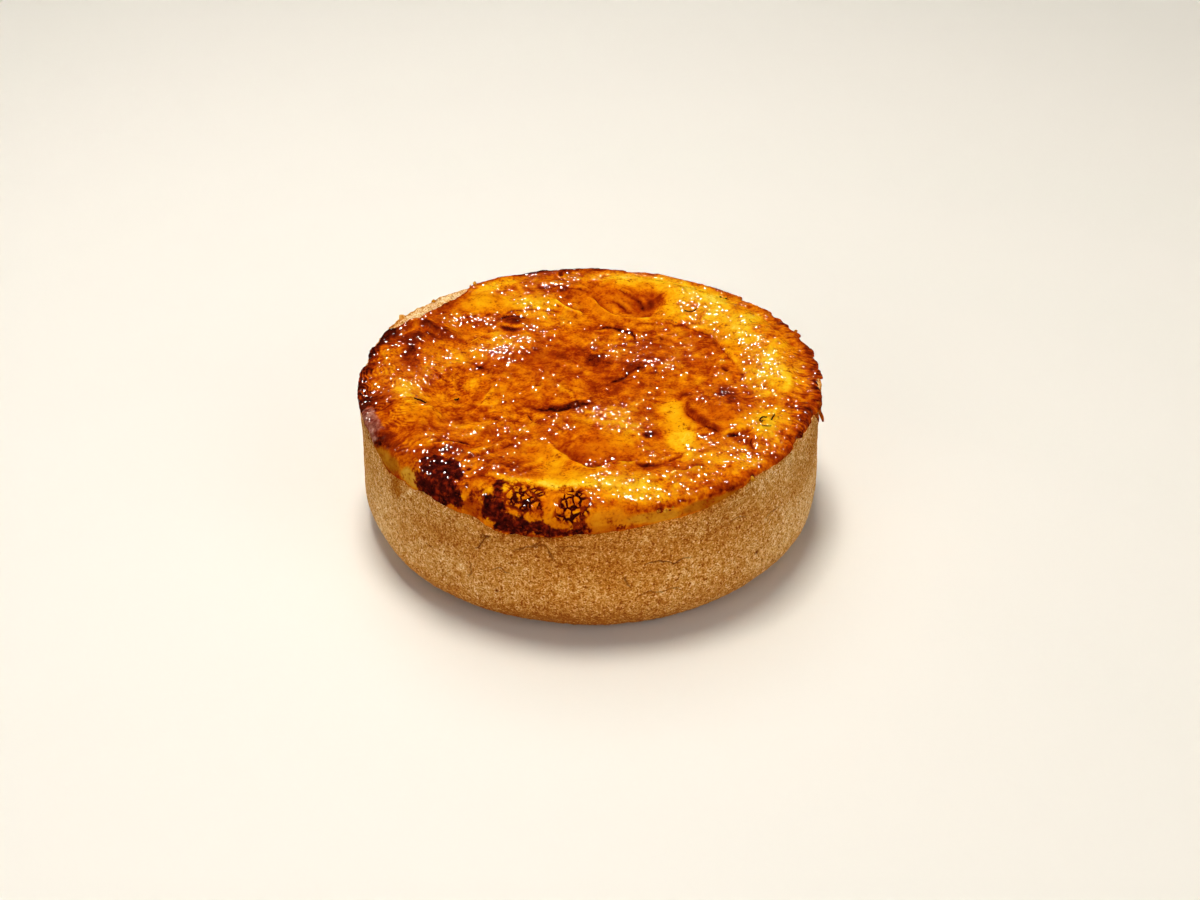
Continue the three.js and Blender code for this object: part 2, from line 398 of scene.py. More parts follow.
# What can be changed on the baked custard. Its top is a disc of small squares, its side a band down
# to the pastry, and inside the shell it is a plain plug.
custard = {
    "rings": 125, "sideRows": 26, "plugFloor": 4.9,
    "shoulderHeight": 35.0, "ringRadius": 44.8, "ringWidth": 6.2, "ringRise": 1.35, "basinDrop": 0.7,
    "backAzimuth": 138, "backFall": 1.9,  # the top falls away towards the edge at the back right
    "leanBack": 1.5,  # how far back a thing looks for each millimetre that it stands higher
    "evenBrown": 0.54, "contrast": 0.88,  # how brown the skin is at large, and how much that changes
    # Broad domes and hollows of the top: place, half widths, turn, rise.
    "domes": [
        (1, -27, 10.5, 10.5, 0, 1.7), (28, -16, 8.0, 10.0, -15, 1.6), (-40, -16, 6.5, 6.0, 0, 1.4),
        (-26, 33, 7, 5, 10, 0.9), (-18, 15, 9, 6, 10, 0.9), (14, 9, 11, 6, 15, 0.8),
        (-25.5, -22, 3.2, 2.8, 0, 0.9), (33, 26, 8, 11, 40, 0.7), (42, -3, 5, 8, 0, 0.7),
        (7, -44, 10, 4, 5, 0.7), (40, -25, 6, 5, 30, 0.8), (22, 40, 7, 5, -30, 0.6),
        (-13, 35, 7, 4, 0, 0.6), (-18.7, 24.9, 3.4, 2.5, 0, 1.5), (-9, -21, 5, 4, 20, 0.5),
        (-47, -24, 3.2, 3.2, 0, 0.7), (11, 32, 8, 6, 0, -0.7), (5, 35, 8, 6, 0, -0.4),
        (6, 44, 13, 4, -6, -0.5), (-32, -7, 6.5, 9.5, 10, -1.3), (-6, -9, 5, 3, 20, -0.5),
        (19.5, -19, 3.6, 8, 0, -0.7), (-43, 9, 4, 7, 5, -0.8), (-12, -36, 5, 4, 0, -0.5),
        (33, -28, 3, 3, 0, -0.5), (17, -37, 5, 2.4, 10, -0.5), (14, -28, 3, 3, 0, -0.4),
        (2, 6, 5, 5, 0, -0.5), (-30, 23, 6, 3.5, 0, -0.6),
    ],
    # Folds of the skin: points, height of the crest on the line's left, depth of the groove on its
    # right, reach, then how much paler the crest and how much browner the groove: partly the skin's own
    # colour, partly painted highlight on the crest and painted shade in the groove.
    "folds": [
        ([(15, -37.2), (9, -37.0), (4, -37.0), (0, -38.6), (-5, -34.6), (-9.5, -27)],
         0.6, 0.45, 1.4, 0.16, 0.10),
        ([(9.5, -38.5), (14, -37.3), (19, -34.2)], 0.35, 0.7, 0.8, 0.10, 0.34),
        ([(23.5, -8.3), (20.8, -11), (21.6, -16), (24.5, -21.5), (29.5, -27)],
         0.45, 0.30, 1.3, -0.10, 0.10),
        ([(29.3, -27.2), (32, -25.2), (34.6, -22.3)], 0.35, 0.7, 1.0, 0.20, 0.26),
        ([(15, 25.3), (20, 23.2), (26, 19.6), (30.5, 14), (33.3, 6), (35.5, -1), (35.5, -8)],
         0.35, 0.25, 1.8, 0.10, 0.12),
        ([(17.5, 27.4), (12, 27.2), (7, 28.6), (3, 32.5), (0, 37)], 0.6, 0.4, 1.4, 0.22, 0.16),
        ([(-1.2, 28.2), (-5, 31.6), (-9, 36.4)], 0.5, 0.3, 1.0, 0.36, 0.12),
        ([(-51, 16.5), (-46, 19.8), (-42, 24.0), (-38, 22.0), (-34.5, 18.2), (-31.5, 14.8)],
         1.0, 0.5, 1.5, -0.22, -0.04),
        ([(-32.2, -18.2), (-35, -14.6), (-39.0, -10.2)], 0.45, 0.45, 1.0, 0.18, 0.08),
        ([(-23.2, -3), (-24.6, -10.5), (-28, -14.8), (-32.2, -18.2)], 0.5, 0.3, 1.2, 0.16, 0.04),
        ([(-14, -13.6), (-7, -14.2), (-2.2, -13.2), (0.6, -10.0)], 0.3, 0.35, 1.3, 0.0, 0.16),
        ([(2.6, -5.4), (6.2, -2.4), (9.4, 1.4), (13.5, 4.2)], 0.3, 0.25, 1.2, 0.0, 0.12),
        ([(-8.4, -4), (-6.6, -7.4), (-4.2, -11)], 0.3, 0.25, 0.9, 0.18, 0.06),
        ([(-25, -29.6), (-30, -27.2), (-35.5, -27.4)], 0.35, 0.4, 0.9, 0.12, 0.22),
        ([(-28.5, -34.4), (-23, -31.6), (-16.5, -28.2)], 0.5, 0.3, 1.2, 0.20, 0.10),
        ([(-25, -39.2), (-17, -43.6), (-8, -46.0), (3, -46.4)], 0.35, 0.15, 1.5, 0.20, 0.10),
        ([(25, -38.6), (19.5, -39.8), (15, -41.4)], 0.4, 0.45, 1.0, 0.18, 0.20),
        ([(-22, 28.6), (-17, 30.6), (-11, 30.8), (-6, 29.6)], 0.2, 0.25, 0.7, 0.0, 0.20),
        ([(-15.2, 22.2), (-18.7, 21.2), (-22.2, 22.4)], -0.35, -0.1, 0.6, -0.15, 0.0),
        ([(-22.4, 26.0), (-19, 28.0), (-15.4, 26.0)], 0.1, 0.25, 0.6, 0.0, 0.35),
        ([(-31, 26.8), (-26.5, 28.8), (-21.6, 27.8)], 0.35, 0.25, 1.0, 0.10, 0.16),
        ([(1, 21.4), (6, 21.8), (9.5, 19), (12, 15.2)], 0.2, 0.3, 0.9, 0.0, 0.20),
        ([(-14.5, 40.8), (-9.5, 43.2), (-3, 41.4), (1, 37.6)], 0.3, 0.3, 1.0, 0.08, 0.14),
        ([(17.6, 38.5), (17.0, 33.5), (17.8, 28.6)], 0.35, 0.2, 1.2, -0.16, -0.06),
        ([(-22, 20.5), (-27, 18.6), (-30, 14)], 0.3, 0.25, 1.0, 0.14, 0.08),
        ([(37.5, -24.6), (35.2, -28.8), (36.5, -33.4)], 0.3, 0.3, 0.9, 0.10, 0.16),
        ([(-18, -40.6), (-13, -38.6), (-9.5, -33.5)], 0.3, 0.2, 1.0, 0.10, 0.06),
        ([(-5, -24.5), (-12.5, -20), (-14.5, -15.5)], 0.3, 0.25, 1.1, 0.04, 0.12),
        ([(24, -31), (20, -33.5), (19, -36)], 0.3, 0.25, 0.9, 0.08, 0.12),
        ([(6.5, 40.2), (10.6, 37.4), (13.4, 34.0), (13.8, 30.6)], 0.35, 0.25, 1.0, 0.16, 0.12),
        ([(4.4, 35.2), (8.0, 34.0), (11.0, 31.0)], 0.3, 0.25, 0.9, 0.14, 0.10),
    ],
    # Pits and burst bubbles: place, half widths, turn, depth.
    "pits": [
        (-12.1, -4.2, 0.75, 0.85, 0, 0.9), (-38.0, -11.8, 1.7, 0.55, -48, 1.1),
        (-30.4, -10.6, 0.9, 0.5, 20, 0.8), (17.6, 16.2, 0.7, 1.0, 0, 0.8),
        (24.8, -26.4, 0.8, 0.5, 10, 0.8), (47, -3.6, 0.8, 0.5, -40, 0.7), (31.8, 1.0, 0.6, 0.9, 0, 0.6),
        (-6.9, 48.4, 0.6, 0.9, 0, 0.7), (-5.4, 49.0, 1.0, 0.4, 10, 0.6),
        (-24.6, 17.6, 0.9, 0.7, 0, 0.5), (12.6, -26.2, 1.0, 1.2, 0, 0.25),
        (5.3, -37.8, 0.9, 0.5, 0, 0.6),
    ],
    # How brown the skin baked: place, half widths, turn, browner above 0 and yellower below.
    "browned": [
        (8, 46, 12, 4, -10, -0.24), (21, 41, 7, 5, -35, -0.22), (27, 34, 7, 7, -50, -0.16),
        (36, 26, 6, 8, 25, -0.34), (30, 21, 4, 5, 0, -0.20), (36, 17, 4, 6, 0, -0.22),
        (41, 8, 5, 9, 0, -0.20), (41, -4, 5.5, 6, 0, -0.22), (38, -22, 5, 7, 20, -0.24),
        (31, -33, 3, 4, 0, -0.16), (26, -35, 3, 3, 0, -0.20), (20.5, -28.6, 3.6, 4, 0, -0.38),
        (19.3, -19, 3.4, 8, 0, -0.28), (8, -45, 9, 4, 5, -0.26), (21, 30, 4, 6, -10, -0.30),
        (-9, -34, 4, 7, -15, -0.22), (-3, -41.5, 8, 3.2, -5, -0.22), (-42, -6, 3.4, 5, 0, -0.26),
        (-46, 9, 3, 6, 0, -0.10), (-40, -13, 3.6, 4, 0, -0.20), (-25, 34, 6, 4, 5, -0.22),
        (-23, 44, 7, 3, 30, -0.34), (-26, 40, 4, 4, 0, -0.14), (-13, 30, 5, 4, 0, -0.18),
        (-17, 36, 4, 4, 0, -0.16), (-12, 34, 5, 4, 8, -0.18), (-20, 15, 7, 5, 0, -0.20),
        (-31, 5, 5, 7, 0, -0.06), (-34, 20, 4, 3, 0, -0.12), (-35, -6, 3, 3, 0, -0.12),
        (8, -24, 4, 6, 0, -0.20), (-24.5, -13, 2.6, 6, 20, -0.10), (-25.6, -22, 2.4, 2.2, 0, -0.18),
        (-38, 35, 4, 3, 40, -0.10), (-6, 25, 7, 4, 0, -0.12), (3, -18, 5, 4, 0, -0.16),
        (32, 7, 2.4, 5, 25, -0.14), (13, 22, 5, 3, 0, -0.06), (28, 27, 4, 5, 30, -0.14),
        (-34, 12, 5, 5, 0, -0.06), (18, -14, 3, 4, 0, -0.12), (41, -29, 3, 4, 0, -0.10),
        (12, 34, 6, 5, -10, 0.12), (15.4, 32.6, 2.4, 2.0, 20, 0.34), (-46, -24, 3.4, 5, 0, 0.16),
        (-41, -31.5, 4, 3.4, 0, 0.14), (-50, -9, 2.4, 6, 0, 0.12), (12.4, 36.8, 1.6, 3.0, 40, 0.24),
        (7.6, 31.6, 2.6, 1.3, -25, -0.18), (16.8, 36.6, 1.4, 2.6, 10, 0.20), (3, 41, 4, 4, 0, 0.10),
        (-7, 40, 5, 2.6, -15, 0.26), (2, 31, 3, 5, 20, 0.06), (-42.4, 10, 2.2, 6.5, 5, 0.42),
        (-40, 20, 5, 3, 0, 0.24), (-35.5, 19, 5, 2.2, -38, 0.22), (-46, 18, 5, 3, 15, 0.24),
        (-38, 29, 2.8, 4.4, -38, 0.16), (-36, 36.5, 1.6, 5, -42, 0.22),
        # On the lump near -19, 25: a browner top, a paler band below it, then a dark band at y 21.8 that is
        # painted shade under the lump's overhang.
        (-19.2, 25.8, 3.2, 1.8, 0, 0.50), (-18.4, 23.3, 2.6, 0.7, 0, -0.30),
        (-18.8, 21.8, 2.8, 0.7, 0, 0.70), (-16, 49.5, 4, 2.4, 0, 0.16), (10, 50, 5, 2, 0, 0.10),
        (10, 45, 4, 3, 0, -0.10), (20, 45, 4, 3, 0, -0.14), (-35, 35, 2.5, 3, 0, 0.18),
        (-44, 13, 4, 5, 0, 0.16), (-31, -31, 4, 3, 0, 0.20), (-19, -46, 5, 3, -10, -0.20),
        (-50, 5, 3, 4, 0, 0.14), (-46, -10, 4, 3, 0, 0.14), (41, -20, 4, 4, 0, -0.12),
        (46, -24, 3, 4, 0, -0.12), (15, 5, 2, 3, 0, 0.14), (28, 36, 6, 5, -45, -0.10),
        (41, 2, 3, 8, 0, -0.10), (1, 7, 2.2, 2, 30, 0.20), (-5, -13.2, 5, 0.9, 5, 0.20),
        (30, -10, 1.6, 3, 10, 0.16), (-34, 36.5, 2.4, 5, -42, 0.30), (-29, 40.6, 4, 1.8, 32, 0.20),
        (-7, 50.2, 15, 2.0, 0, 0.26), (25, 30, 3, 3.4, 0, 0.24), (-19, 10, 4, 4, 0, 0.14),
        (-25, 4, 5, 4, 0, 0.14), (-30, 3, 5, 4, 0, 0.12), (15, 7, 3, 5, 0, 0.20),
        (30, 10, 3, 4, 0, 0.20), (-35, -34, 2.4, 3, 0, 0.26), (39, 30, 4, 3, 0, 0.26),
        (25, 41, 3, 3, 0, -0.16), (31, 35, 3.4, 3, 0, -0.18), (35, 15, 2.4, 3, 0, -0.16),
        (40, 24, 3, 3, 0, -0.16), (45, 9, 3, 4, 0, -0.16), (46, -1, 3, 5, 0, -0.10),
        (20, -35, 3, 3, 0, -0.22), (0, -35.6, 3, 2, 0, -0.20), (-5, -44.6, 6, 2, 0, -0.20),
        (-15, -47, 5, 3, -15, -0.20), (15, -50, 6, 3, 10, -0.24), (21, 19, 3, 3, 0, -0.14),
        (-25, 20, 4, 2.4, 0, -0.14), (-40, 18, 4, 3, 0, 0.14), (-28, 24, 9, 3.6, 0, 0.16),
        (-12, 17, 5.5, 3, 0, 0.22), (-12, 8, 7, 6, 0, 0.18), (-6, 10, 5, 4, 20, 0.18),
        (1, 7, 4, 6, 30, 0.26), (10, 2.6, 6, 2.4, 32, 0.24), (4, -4, 6, 4, 20, 0.24),
        (-6, -13.8, 8, 1.8, 5, 0.30), (10, -7, 3, 3, 0, 0.14), (27, 15.5, 4, 3, -40, 0.14),
        (14, 12.5, 5, 3, 20, 0.12), (20, 5, 12, 7, 0, 0.06), (31.6, -8.6, 2.6, 4.6, 10, 0.36),
        (21.6, -11, 1.6, 3.6, 10, 0.26), (23.6, -19, 1.4, 4.4, 28, 0.28), (27, -14, 6, 7, 0, 0.08),
        (35.6, -12, 1.6, 6.4, 0, 0.20), (32.8, -27.6, 2.2, 2.4, 0, 0.28),
        (12.6, -26.2, 2.0, 1.8, 0, 0.24), (12.4, -16.6, 3, 2.2, 30, 0.26), (-4, -32.5, 3, 7, 32, 0.22),
        (1, -35.8, 6.5, 2.4, -4, 0.24), (13, -38.8, 3.6, 1.4, 10, 0.34), (18, -37, 4, 1.7, 4, 0.10),
        (-17, -36.8, 4, 2.2, -15, 0.32), (-22, -40, 6, 3, -10, 0.16), (-12, -41, 4, 2.4, -10, 0.12),
        (-38, -22.5, 4.4, 3, 0, 0.20), (-44, -26, 4, 4, 0, 0.10), (-28, -18, 4, 3.2, 20, 0.24),
        (-20, -24.6, 6, 4, 0, 0.12), (-37.4, -5, 2.2, 3, 0, 0.26), (-27, -9.4, 1.5, 3, -20, 0.30),
        (-31, -30, 6, 3, 0, 0.18), (46.5, -18, 2.6, 6, 15, 0.26), (45, -27, 3, 4, 30, 0.14),
        (24, -33, 1.6, 1.6, 0, 0.20), (45, -4, 2.6, 8, 0, -0.16), (29.6, -38, 3, 1.6, 30, 0.06),
        (-10, -44.6, 8, 2.4, -14, -0.22), (9, -46, 8, 3, 0, -0.12), (-8, -25, 5, 3, 30, 0.08),
        (-47, -10, 3, 6, 0, 0.10), (-16, -12, 5, 3, 0, 0.10), (-7, -16, 6, 3, 0, 0.14),
        (10, 20, 7, 3, 0, 0.12), (7, 44, 5, 3, 0, -0.14), (12, 38, 4, 3, 0, -0.10),
        (34, -36, 5, 3, 40, -0.20), (29, -40, 5, 3, 35, -0.16), (-21, 3, 5, 5, 0, 0.08),
        (-2, 22, 10, 4, 0, 0.08),
    ],
    "leftRim": (-80, 42), "rightRim": (88, 45),  # where the edge is wrinkled: azimuth, width
    "swirl": (-46.5, -22.5), "swirlAzimuth": -78,  # the wrinkles at the left curl round this place
    # Where it burnt: azimuth, height, half widths, strength. The first five are large and stand out.
    "burnt": [
        (-40, 36.4, 4.4, 3.2, 0.95), (-37, 33.8, 5.6, 3.2, 1.0), (-33.5, 32.2, 3.4, 1.7, 0.9),
        (-22.8, 32.2, 3.2, 4.6, 1.0), (-18, 30.2, 6, 2.4, 1.0), (-9.5, 29.6, 6, 1.4, 0.95),
        (-3.0, 30.2, 2.2, 2.2, 0.9), (-27.6, 33.2, 2.0, 2.6, 0.4), (6.4, 30.6, 0.9, 0.7, 0.7),
        (-17, 36.8, 5, 0.9, 0.6), (39.6, 34.4, 0.9, 0.9, 0.9), (-5, 37.4, 4, 0.8, 0.5),
        (15.4, 33.2, 0.9, 0.5, 0.6), (17.6, 33.0, 0.6, 0.4, 0.6),
    ],
    "burntInside": (-32.4, -38.6, 5.75, 6.75, 15),  # the same burn where it reaches in over the top
    "crackled": [(-16.8, 34.9, 5.0, 1.9), (-4.6, 34.2, 3.6, 3.0)],  # a net of cracks, given like the burns
    "film": (-69, 6.5, 30.4, 37.4),  # wrinkled rosy film: azimuth, width, lowest and highest point
    # Where a piece of the edge tore off: azimuth, half width, depth.
    "tears": [
        (131, 3.5, 1.9), (121.8, 1.6, 1.1), (107, 2.4, 1.0), (97.5, 1.4, 0.6), (85, 2.0, 0.8),
        (71, 1.4, 0.7), (59, 1.6, 0.5), (145, 2.0, 0.9), (-98, 2.0, 0.7), (-107, 1.4, 0.8),
        (168, 1.8, 0.6), (-170, 1.5, 0.7),
    ],
    # Where the custard's side stands bare below its skin: azimuth, height, half widths, how brown,
    # how olive.
    "bareSide": [
        (-57, 32.0, 6, 2.0, 0.58, 0.8), (-47.6, 31.8, 4, 1.9, 0.38, 0.8),
        (-28, 31.6, 2.5, 2.0, 0.66, 0), (-10, 33.4, 2.4, 2.4, 0.46, 0), (4, 32.2, 4.6, 2.3, 0.46, 0.2),
        (3, 30.4, 4, 0.9, 0.56, 0.2), (15, 32.0, 7, 1.2, 0.44, 0.5), (28, 32.3, 8.5, 1.2, 0.60, 0.6),
    ],
    "seam": (22, 13, 34.0),  # broken line along the bare side: azimuth, width, height
    # Smooth stretches without the oily grain: place, half widths, turn.
    "calm": [
        (-27, 34, 7, 5, 5), (9, 34, 9, 7, -10), (1, -30, 7, 5, 0), (-10, -35, 4, 6, 0),
        (-12, 8, 4, 4, 0), (28, -18, 5, 5, 0), (-39, -15, 4, 3, 0), (-6, -41, 6, 2.5, 0),
        (19.5, -19, 3, 7, 0),
    ],
    # Places without drops of oil, and then places where they glint most: place, half widths, turn, and
    # for the second the share of drops.
    "dull": [(8, 37, 11, 6.5, -10), (-15, -46, 12, 2.6, -17), (-43, -20, 5, 6, 0)],
    "beaded": [
        (-33, -2, 7, 11, 0, 0.5), (-19, 13, 9, 6, 0, 0.5), (28, 34, 9, 7, -45, 0.16),
        (42, 2, 5, 12, 0, 0.20), (14, -47, 14, 2.6, 16, 0.12), (-28, 26, 6, 3, 0, 0.4),
        (4, 13, 8, 6, 30, 0.55), (-16, -18, 8, 6, 20, 0.55), (3, -15, 9, 6, 0, 0.45),
        (-8, 24, 7, 5, 0, 0.3), (12, -26, 3, 3, 0, 0.4), (28, 24, 4, 5, 0, 0.25),
        (-33, -36, 5, 6, 0, 0.32), (33, -35, 5, 4, 0, 0.35), (9, 46, 8, 3, 0, 0.25),
        (-10, 43, 6, 4, 0, 0.3), (5, -43, 8, 3, 0, 0.2), (16, 2, 6, 8, 0, 0.25),
        (28, -12, 4, 5, 0, 0.2), (-43, 14, 3, 5, 0, 0.12),
    ],
}


def slumpedAt(azimuth):  # 1 where the pastry has slumped and the custard's side stands bare
    return smooth(0.8, 4.0, shell["rimHeight"] - rimTop(azimuth))


def topHeight(x, y):
    radius = np.hypot(x, y)
    a = np.arctan2(y, x)
    ringRadius = custard["ringRadius"]
    ring = custard["ringRise"] * (1 + 0.35 * np.sin(2 * a + 0.4) + 0.2 * np.sin(5 * a))
    height = custard["shoulderHeight"] + ring * hump(radius - ringRadius, custard["ringWidth"])
    height -= custard["basinDrop"] * smooth(ringRadius, ringRadius - 15, radius)
    behind = turnFrom(custard["backAzimuth"], np.degrees(a) + 90)
    height -= custard["backFall"] * hump(behind, np.where(behind < 0, 34, 30)) * smooth(43, 52, radius)
    for *spot, amount in custard["domes"]:
        height += amount * oval(x, y, *spot)
    flat = np.stack([x, y, np.zeros_like(x)], axis=1)
    return height + 0.35 * ripple(flat, 9, 41) + 0.22 * ripple(flat, 4.5, 42)


def discGrid(rings):  # a square grid bent into a disc: share of the radius, azimuth, quads, outer ring
    side = np.arange(-rings, rings + 1)
    i, j = (grid.ravel().astype(float) for grid in np.meshgrid(side, side, indexing="ij"))
    share = np.maximum(np.abs(i), np.abs(j))
    with np.errstate(divide="ignore", invalid="ignore"):
        acrossSide = 45 * j / i + np.where(i < 0, 180, 0)
        alongSide = 90 - 45 * i / j + np.where(j < 0, 180, 0)
    turned = np.nan_to_num(np.where(np.abs(i) >= np.abs(j), acrossSide, alongSide))
    number = np.arange((2 * rings + 1) ** 2).reshape(2 * rings + 1, -1)
    quads = np.stack([number[:-1, :-1], number[1:, :-1], number[1:, 1:], number[:-1, 1:]], axis=-1)
    quads = quads.reshape(-1, 4)
    crossed = (i[quads[:, 0]] * j[quads[:, 0]] + i[quads[:, 2]] * j[quads[:, 2]]) < 0
    quads[crossed] = np.roll(quads[crossed], 1, axis=1)
    outer = number.ravel()[share == rings]
    outer = outer[np.argsort((turned[outer] + 360) % 360)]
    return share / rings, (turned + 90) % 360, quads, outer


def custardOutline(azimuth):  # shoulder radius, edge radius and lower edge of the side band
    low = meetingHeight(azimuth)
    cover = coverage(azimuth)
    spots = onRim(azimuth)
    wall = wallAt(azimuth, low)
    proud = 0.30 + 0.18 * ripple(spots, 4, 43)
    for middle, level, halfWide, halfTall, amount in custard["burnt"][:5]:
        proud += 0.225 * amount * hump(turnFrom(middle, azimuth), halfWide)
    torn = smooth(40, 75, azimuth) * smooth(160, 120, azimuth)  # the right side's edge is torn and ragged
    proud += torn * (0.45 * ripple(spots, 3.4, 44) + 0.35 * ripple(spots, 1.5, 45))
    jagged = 0.4 * ripple(spots, 1.5, 48)
    for middle, halfWidth, depth in custard["tears"]:
        away = turnFrom(middle, azimuth) + jagged
        tear = smooth(halfWidth, halfWidth - 0.7, away) * smooth(-2.2 * halfWidth, -halfWidth, away)
        proud -= depth * tear
    outside = wall + np.clip(proud, -2.2, 1.0)
    bare = wall - shell["thickness"] + 0.7 + 0.5 * ripple(spots, 4, 46) + 0.25 * ripple(spots, 1.6, 47)
    edge = mix(bare, outside, cover)
    slumped = smooth(0.8, 5.0, shell["rimHeight"] - low)
    behind = hump(turnFrom(custard["backAzimuth"], azimuth), 34)
    roll = mix(1.2, mix(mix(3.0, 5.0, behind), 6.4, slumped), cover)  # how far in the side curves over
    return edge - roll, edge, low


def custardBody():  # the smooth custard: points, their azimuths, faces, and which of the points show
    share, topAzimuth, topQuads, outer = discGrid(custard["rings"])
    x, y = polar(custardOutline(topAzimuth)[0] * share, topAzimuth)
    top = np.stack([x, y, topHeight(x, y)], axis=1)
    azimuth = topAzimuth[outer]
    shoulder, edge, low = custardOutline(azimuth)
    crest = np.maximum(top[outer, 2], low + 0.9)
    top[outer, 2] = crest
    rows = []
    for step in np.linspace(0, 1, custard["sideRows"] + 1)[1:]:
        bend = step * math.pi / 2
        rows.append((mix(shoulder, edge, math.sin(bend) ** 0.85), mix(low, crest, math.cos(bend) ** 0.8)))
    inner = np.minimum(wallAt(azimuth, low) - shell["thickness"] - 0.1, edge - 0.8)
    plugFloor = np.full_like(inner, custard["plugFloor"])
    rows += [(edge - 0.5, low - 0.12), (inner, low - 0.1), (inner, mix(low, plugFloor, 0.5))]
    rows += [(inner, plugFloor + 5), (inner - 5, plugFloor)]
    points, quads = [top], [topQuads]
    lastRing = outer
    total = len(top)
    for radius, level in rows:
        points.append(np.stack([*polar(radius, azimuth), level], axis=1))
        ring = np.arange(total, total + len(azimuth))
        quads.append(hoop(ring, lastRing))
        lastRing = ring
        total += len(azimuth)
    points = np.vstack([*points, [[0, 0, custard["plugFloor"]]]])
    seen = np.zeros(len(points))
    seen[:len(top) + custard["sideRows"] * len(azimuth)] = 1
    azimuths = np.concatenate([topAzimuth, np.tile(azimuth, len(rows)), [0]])
    return points, azimuths, np.vstack(quads), fan(lastRing[::-1], total), seen


def foldedSkin(x, y):  # relief and browning of the folds; distance from their lines, their strength
    relief, brown, folded = np.zeros((3, len(x)))
    foldGap = np.full(len(x), 2.0)
    for corners, crestRise, grooveDepth, reach, paler, browner in custard["folds"]:
        gap, fade = besideLine(x, y, corners)
        crest = hump(gap - 0.75 * reach, np.where(gap > 0, reach, reach * 0.55))
        groove = hump(gap + 0.35 * reach, np.where(gap < 0, reach * 0.7, reach * 0.4))
        relief += fade * (crestRise * crest - grooveDepth * groove)
        # Crests painted paler and grooves browner: partly the skin's own colour, partly painted highlight
        # and painted shade.
        brown += fade * (browner * groove - paler * hump(gap - 0.55 * reach, reach * 0.6))
        if browner > 0.03:
            gap += 0.25
            nearer = (np.abs(gap) < np.abs(foldGap)) & (fade > 0.02)
            foldGap = np.where(nearer, gap, foldGap)
            folded = np.maximum(folded, np.sqrt(fade) * hump(gap, 1.3) * min(1.0, 0.35 + 2.2 * browner))
    return relief, brown, foldGap, folded


def pittedSkin(x, y):  # relief of the pits, and where they are
    relief, pitted = np.zeros((2, len(x)))
    for middleX, middleY, halfWide, halfTall, turned, depth in custard["pits"]:
        inside = oval(x, y, middleX, middleY, halfWide, halfTall, turned)
        lip = oval(x, y, middleX, middleY, halfWide * 1.9, halfTall * 1.9, turned) - inside
        relief += 0.25 * lip - depth * inside
        pitted = np.maximum(pitted, inside)
    return relief, pitted


def rimSkin(points, azimuth, x, y, radius):  # browned edge, and wrinkles round or across it
    sideways = np.radians(turnFrom(0, azimuth)) * 53
    middle, width = custard["leftRim"]
    leftRim = hump(turnFrom(middle, azimuth), width) * smooth(41, 46, radius)
    middle, width = custard["rightRim"]
    rightRim = hump(turnFrom(middle, azimuth), width) * smooth(44, 49, radius)
    middleX, middleY = custard["swirl"]
    past = turnFrom(custard["swirlAzimuth"], azimuth)
    swirl = np.where(past < 0, radius * 1.3 + sideways * 0.35, np.hypot(x - middleX, y - middleY))
    swirl = (swirl + 0.9 * ripple(points, 3, 54)) * 2 * math.pi / 1.25
    stripes = np.sin(swirl + 3.0 * ripple(points, 1.8, 55))
    stripes *= smooth(-0.35, 0.35, ripple(points, 4.5, 77)) * smooth(0.5, 4, np.abs(past))
    crossing = np.stack([sideways, radius / 3.4, points[:, 2] / 3.0], axis=1)
    frills = 1 - 2 * np.abs(ripple(crossing, 1.0, 56))
    relief = 0.08 * leftRim * stripes + 0.10 * rightRim * (frills - 0.4)
    brown = 0.10 + 0.32 * hump(turnFrom(-95, azimuth), 45) + 0.16 * hump(turnFrom(90, azimuth), 32)
    brown += 0.22 * hump(turnFrom(185, azimuth), 50)
    brown *= smooth(49.5, 53.4, radius + 0.5 * ripple(points, 2.5, 57)) * smooth(1, 0.2, slumpedAt(azimuth))
    # Wrinkle ridges are painted paler and their grooves darker: painted highlight and painted shade on the
    # wrinkles of the edge, beside its browned rim.
    return relief, brown - 0.19 * leftRim * stripes - 0.26 * rightRim * (frills - 0.6)


def bubblySkin(points, bent, grain, calm):  # rounded beads, and finer grain for the oil to glint on
    bead = smooth(0.62, 0.1, cells(points, 1.9, 58))
    fine = cells(points, 1.15, 59)
    relief = grain * (0.16 * bead + 0.085 * smooth(0.6, 0.1, fine) - 0.09)
    relief += 0.20 * layered(bent, 3.6, 2, 60) * (1 - 0.6 * calm)
    brown = 0.09 * layered(bent, 8, 3, 61) + 0.13 * layered(bent, 2.6, 2, 64) * (1 - 0.5 * calm)
    vein = smooth(0.16, 0.02, np.abs(ripple(bent * [1, 1.5, 1], 4.5, 75)))
    vein *= smooth(-0.2, 0.3, ripple(points, 9, 76))
    brown += 0.15 * vein * (1 - 0.7 * calm) + 0.07 * grain * (0.5 - smooth(0.15, 0.6, fine))
    dots = smooth(0.30, 0.10, cells(points, 3.1, 66) + 0.06 * ripple(points, 0.8, 67))
    brown += 0.10 * dots * (ripple(points, 11, 68) > -0.05) * (1 - calm)
    return relief, brown


def fromSpot(spot, azimuth, height):  # distance from a spot on the side, 1 at the spot's edge
    middle, level, halfWide, halfTall = spot
    return np.hypot(turnFrom(middle, azimuth) / halfWide, (height - level) / halfTall)


